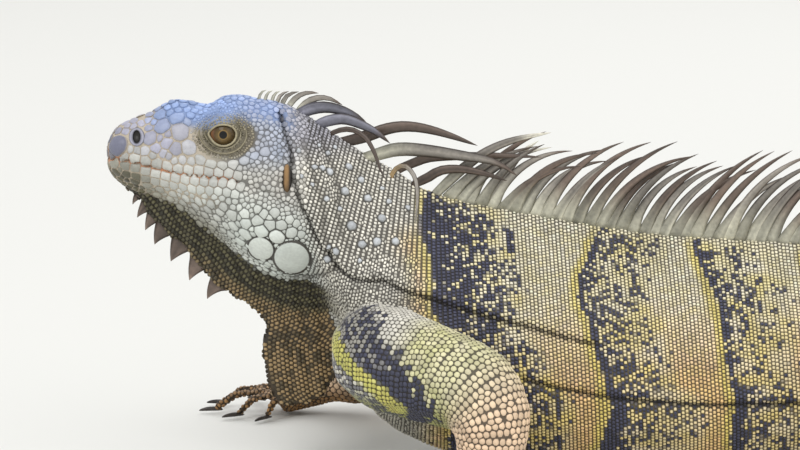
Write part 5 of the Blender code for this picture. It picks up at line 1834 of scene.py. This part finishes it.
def build_ears():
    """The ear discs, a little sunk into the head."""
    c = Palette()
    for side, sign in SIDES:
        low, high = (in_mm(corner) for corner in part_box(f"ear_{side}"))
        half = (high - low) / 2
        bm = bmesh.new()
        bmesh.ops.create_uvsphere(bm, u_segments=32, v_segments=20, radius=1)
        bmesh.ops.scale(bm, verts=bm.verts, vec=(half[0] * EAR_WIDTH, 1.0, half[2]))
        bmesh.ops.translate(bm, verts=bm.verts, vec=EARS[side] + np.array([0.4, -EAR_SUNK * sign, 0]))
        mesh = mesh_of(bm, f"ear_disc_{side}")
        places = vertex_places(mesh)
        beyond = places[:, 0] - EARS[side][0]
        # Darker below its middle, and painted shade at its front and rear edges, where it sinks into the hollow round
        # it.
        shade = layered(
            c.ear, (c.ear * 0.45, 1 - smooth(-6, -1, places[:, 2] - EARS[side][2])),
            (c.groove * 0.4, np.maximum(smooth(0.6, 1.8, beyond), 1 - smooth(-1.6, -0.3, beyond))))
        mesh_colours(mesh, shade * (0.7 + 0.6 * noise(places, 2.2, 35))[:, None])
        mesh.shade_smooth()
        obj = settled(made_object(f"ear_disc_{side}", mesh), "ear skin", "ear")
        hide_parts(f"ear_{side}")


def build_claws():
    """The claws, rounded from the CAD's faceted ones and grown a little into the toes."""
    c = Palette()
    for limb, side in ((limb, side) for limb in PAW_NAME.values() for side, _ in SIDES):
        names = [f"claw_{limb}_{side}_{number}" for number in range(1, 6)]
        paw = Vector(in_mm(sum(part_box(f"{limb}_{side}"), Vector()) / 2))
        whole = bmesh.new()
        for name in names:
            bm = merged(name)
            centre = sum((v.co for v in bm.verts), Vector()) / len(bm.verts)
            tip = max((v.co.copy() for v in bm.verts), key=lambda spot: (spot - paw).length)
            back = (centre - tip).normalized()
            length = max((v.co - tip).dot(back) for v in bm.verts)
            for vert in bm.verts:
                share = (vert.co - tip).dot(back) / length
                vert.co = centre + (vert.co - centre) * 1.1 + back * (CLAW_ROOT * share**2)
            bmesh.ops.join_triangles(bm, faces=bm.faces, angle_face_threshold=0.7, angle_shape_threshold=0.9)
            absorb(whole, bm)
        mesh = mesh_of(whole, f"claws_{limb}_{side}")
        mesh_colours(mesh, c.claw * (0.7 + 1.2 * noise(vertex_places(mesh), 3.0, 37))[:, None])
        mesh.shade_smooth()
        obj = settled(made_object(mesh.name, mesh), "horn", "claw")
        smoothing = obj.modifiers.new("rounded", "SUBSURF")
        smoothing.levels = smoothing.render_levels = 2
        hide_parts(*names)


# ---- stage

AIM = (140.9, 0.0, 118.6)  # the point the camera looks at
# Each light: its place from that point in metres, its size, and its share of the main light's power.
LIGHTS = (("key light", (-0.9, -1.6, 2.2), 1.6, 1.0), ("fill light", (1.6, -1.2, 1.4), 2.0, 0.35),
          ("rim light", (0.6, 1.8, 1.8), 1.6, 0.5))


def aimed(obj, aim, offset):
    """Puts an object at an offset from a point, and turns it to look there."""
    obj.location = aim + offset
    obj.rotation_euler = (-offset).to_track_quat("-Z", "Y").to_euler()


def build_stage():
    """The floor, the lights and the camera."""
    scene, stage = bpy.context.scene, bpy.context.scene.iguana_stage
    bm = bmesh.new()
    bmesh.ops.create_grid(bm, x_segments=1, y_segments=1, size=9)
    mesh = bpy.data.meshes.new("floor")
    bm.to_mesh(mesh)
    bm.free()
    material = bpy.data.materials.new("floor")
    material.use_nodes = True
    shader = material.node_tree.nodes["Principled BSDF"]
    shader.inputs["Base Color"].default_value = (*stage.floor, 1)
    shader.inputs["Roughness"].default_value = 0.9
    mesh.materials.append(material)
    floor = made_object("floor", mesh)
    aim = Vector(in_metres(AIM))
    for name, offset, size, share in LIGHTS:
        light = bpy.data.lights.new(name, "AREA")
        light.energy, light.size = stage.key * share, size
        aimed(made_object(name, light), aim, Vector(offset))
    world = bpy.data.worlds.new("studio")
    world.use_nodes = True
    world.node_tree.nodes["Background"].inputs["Color"].default_value = (1, 1, 1, 1)
    world.node_tree.nodes["Background"].inputs["Strength"].default_value = stage.sky
    scene.world = world
    scene.view_settings.view_transform = "Standard"
    camera = made_object("camera", bpy.data.cameras.new("camera"))
    camera.data.lens, camera.data.sensor_width = stage.lens, 36.0
    camera.data.clip_start, camera.data.clip_end = 0.01, 60.0
    away = Vector((0, -math.cos(stage.elevation), math.sin(stage.elevation)))
    aimed(camera, aim, away * stage.distance)
    scene.camera = camera


# ---- add-on

class IGUANA_OT_skin(bpy.types.Operator):
    """Build the skin that covers all the flesh"""
    bl_idname = "iguana.skin"
    bl_label = "Build skin"

    def execute(self, context):
        build_skin()
        return {"FINISHED"}


class IGUANA_OT_coat(bpy.types.Operator):
    """Build the scales and plates that cover the skin"""
    bl_idname = "iguana.coat"
    bl_label = "Build scales"

    def execute(self, context):
        build_coat()
        return {"FINISHED"}


class IGUANA_OT_crest(bpy.types.Operator):
    """Build the spines of the crest and of the throat fold"""
    bl_idname = "iguana.crest"
    bl_label = "Build spines"

    def execute(self, context):
        build_crest()
        return {"FINISHED"}


class IGUANA_OT_eyes(bpy.types.Operator):
    """Build the eyeballs and the eyelids"""
    bl_idname = "iguana.eyes"
    bl_label = "Build eyes"

    def execute(self, context):
        build_eyes()
        build_lids()
        return {"FINISHED"}


class IGUANA_OT_ears(bpy.types.Operator):
    """Build the ear discs"""
    bl_idname = "iguana.ears"
    bl_label = "Build ears"

    def execute(self, context):
        build_ears()
        return {"FINISHED"}


class IGUANA_OT_claws(bpy.types.Operator):
    """Build the claws"""
    bl_idname = "iguana.claws"
    bl_label = "Build claws"

    def execute(self, context):
        build_claws()
        return {"FINISHED"}


class IGUANA_OT_stage(bpy.types.Operator):
    """Build the floor, the lights and the camera"""
    bl_idname = "iguana.stage"
    bl_label = "Build stage"

    def execute(self, context):
        build_stage()
        return {"FINISHED"}


OPERATORS = (IGUANA_OT_skin, IGUANA_OT_coat, IGUANA_OT_crest, IGUANA_OT_eyes, IGUANA_OT_ears, IGUANA_OT_claws,
             IGUANA_OT_stage)
GROUPS = {"iguana_skin": IguanaSkin, "iguana_scales": IguanaScales, "iguana_colours": IguanaColours,
          "iguana_stage": IguanaStage}


class IGUANA_PT_panel(bpy.types.Panel):
    """Lists the steps that build the iguana"""
    bl_label = "Iguana"
    bl_idname = "IGUANA_PT_panel"
    bl_space_type = "VIEW_3D"
    bl_region_type = "UI"
    bl_category = "Iguana"

    def draw(self, context):
        for operator in OPERATORS:
            self.layout.operator(operator.bl_idname)


def register():
    for group in (*GROUPS.values(), *OPERATORS, IGUANA_PT_panel):
        bpy.utils.register_class(group)
    for name, group in GROUPS.items():
        setattr(bpy.types.Scene, name, PointerProperty(type=group))


def unregister():
    for name in GROUPS:
        delattr(bpy.types.Scene, name)
    for group in reversed((*GROUPS.values(), *OPERATORS, IGUANA_PT_panel)):
        bpy.utils.unregister_class(group)


def main():
    register()
    for operator in OPERATORS:
        getattr(bpy.ops.iguana, operator.bl_idname.split(".")[1])()


if __name__ == "__main__":
    main()
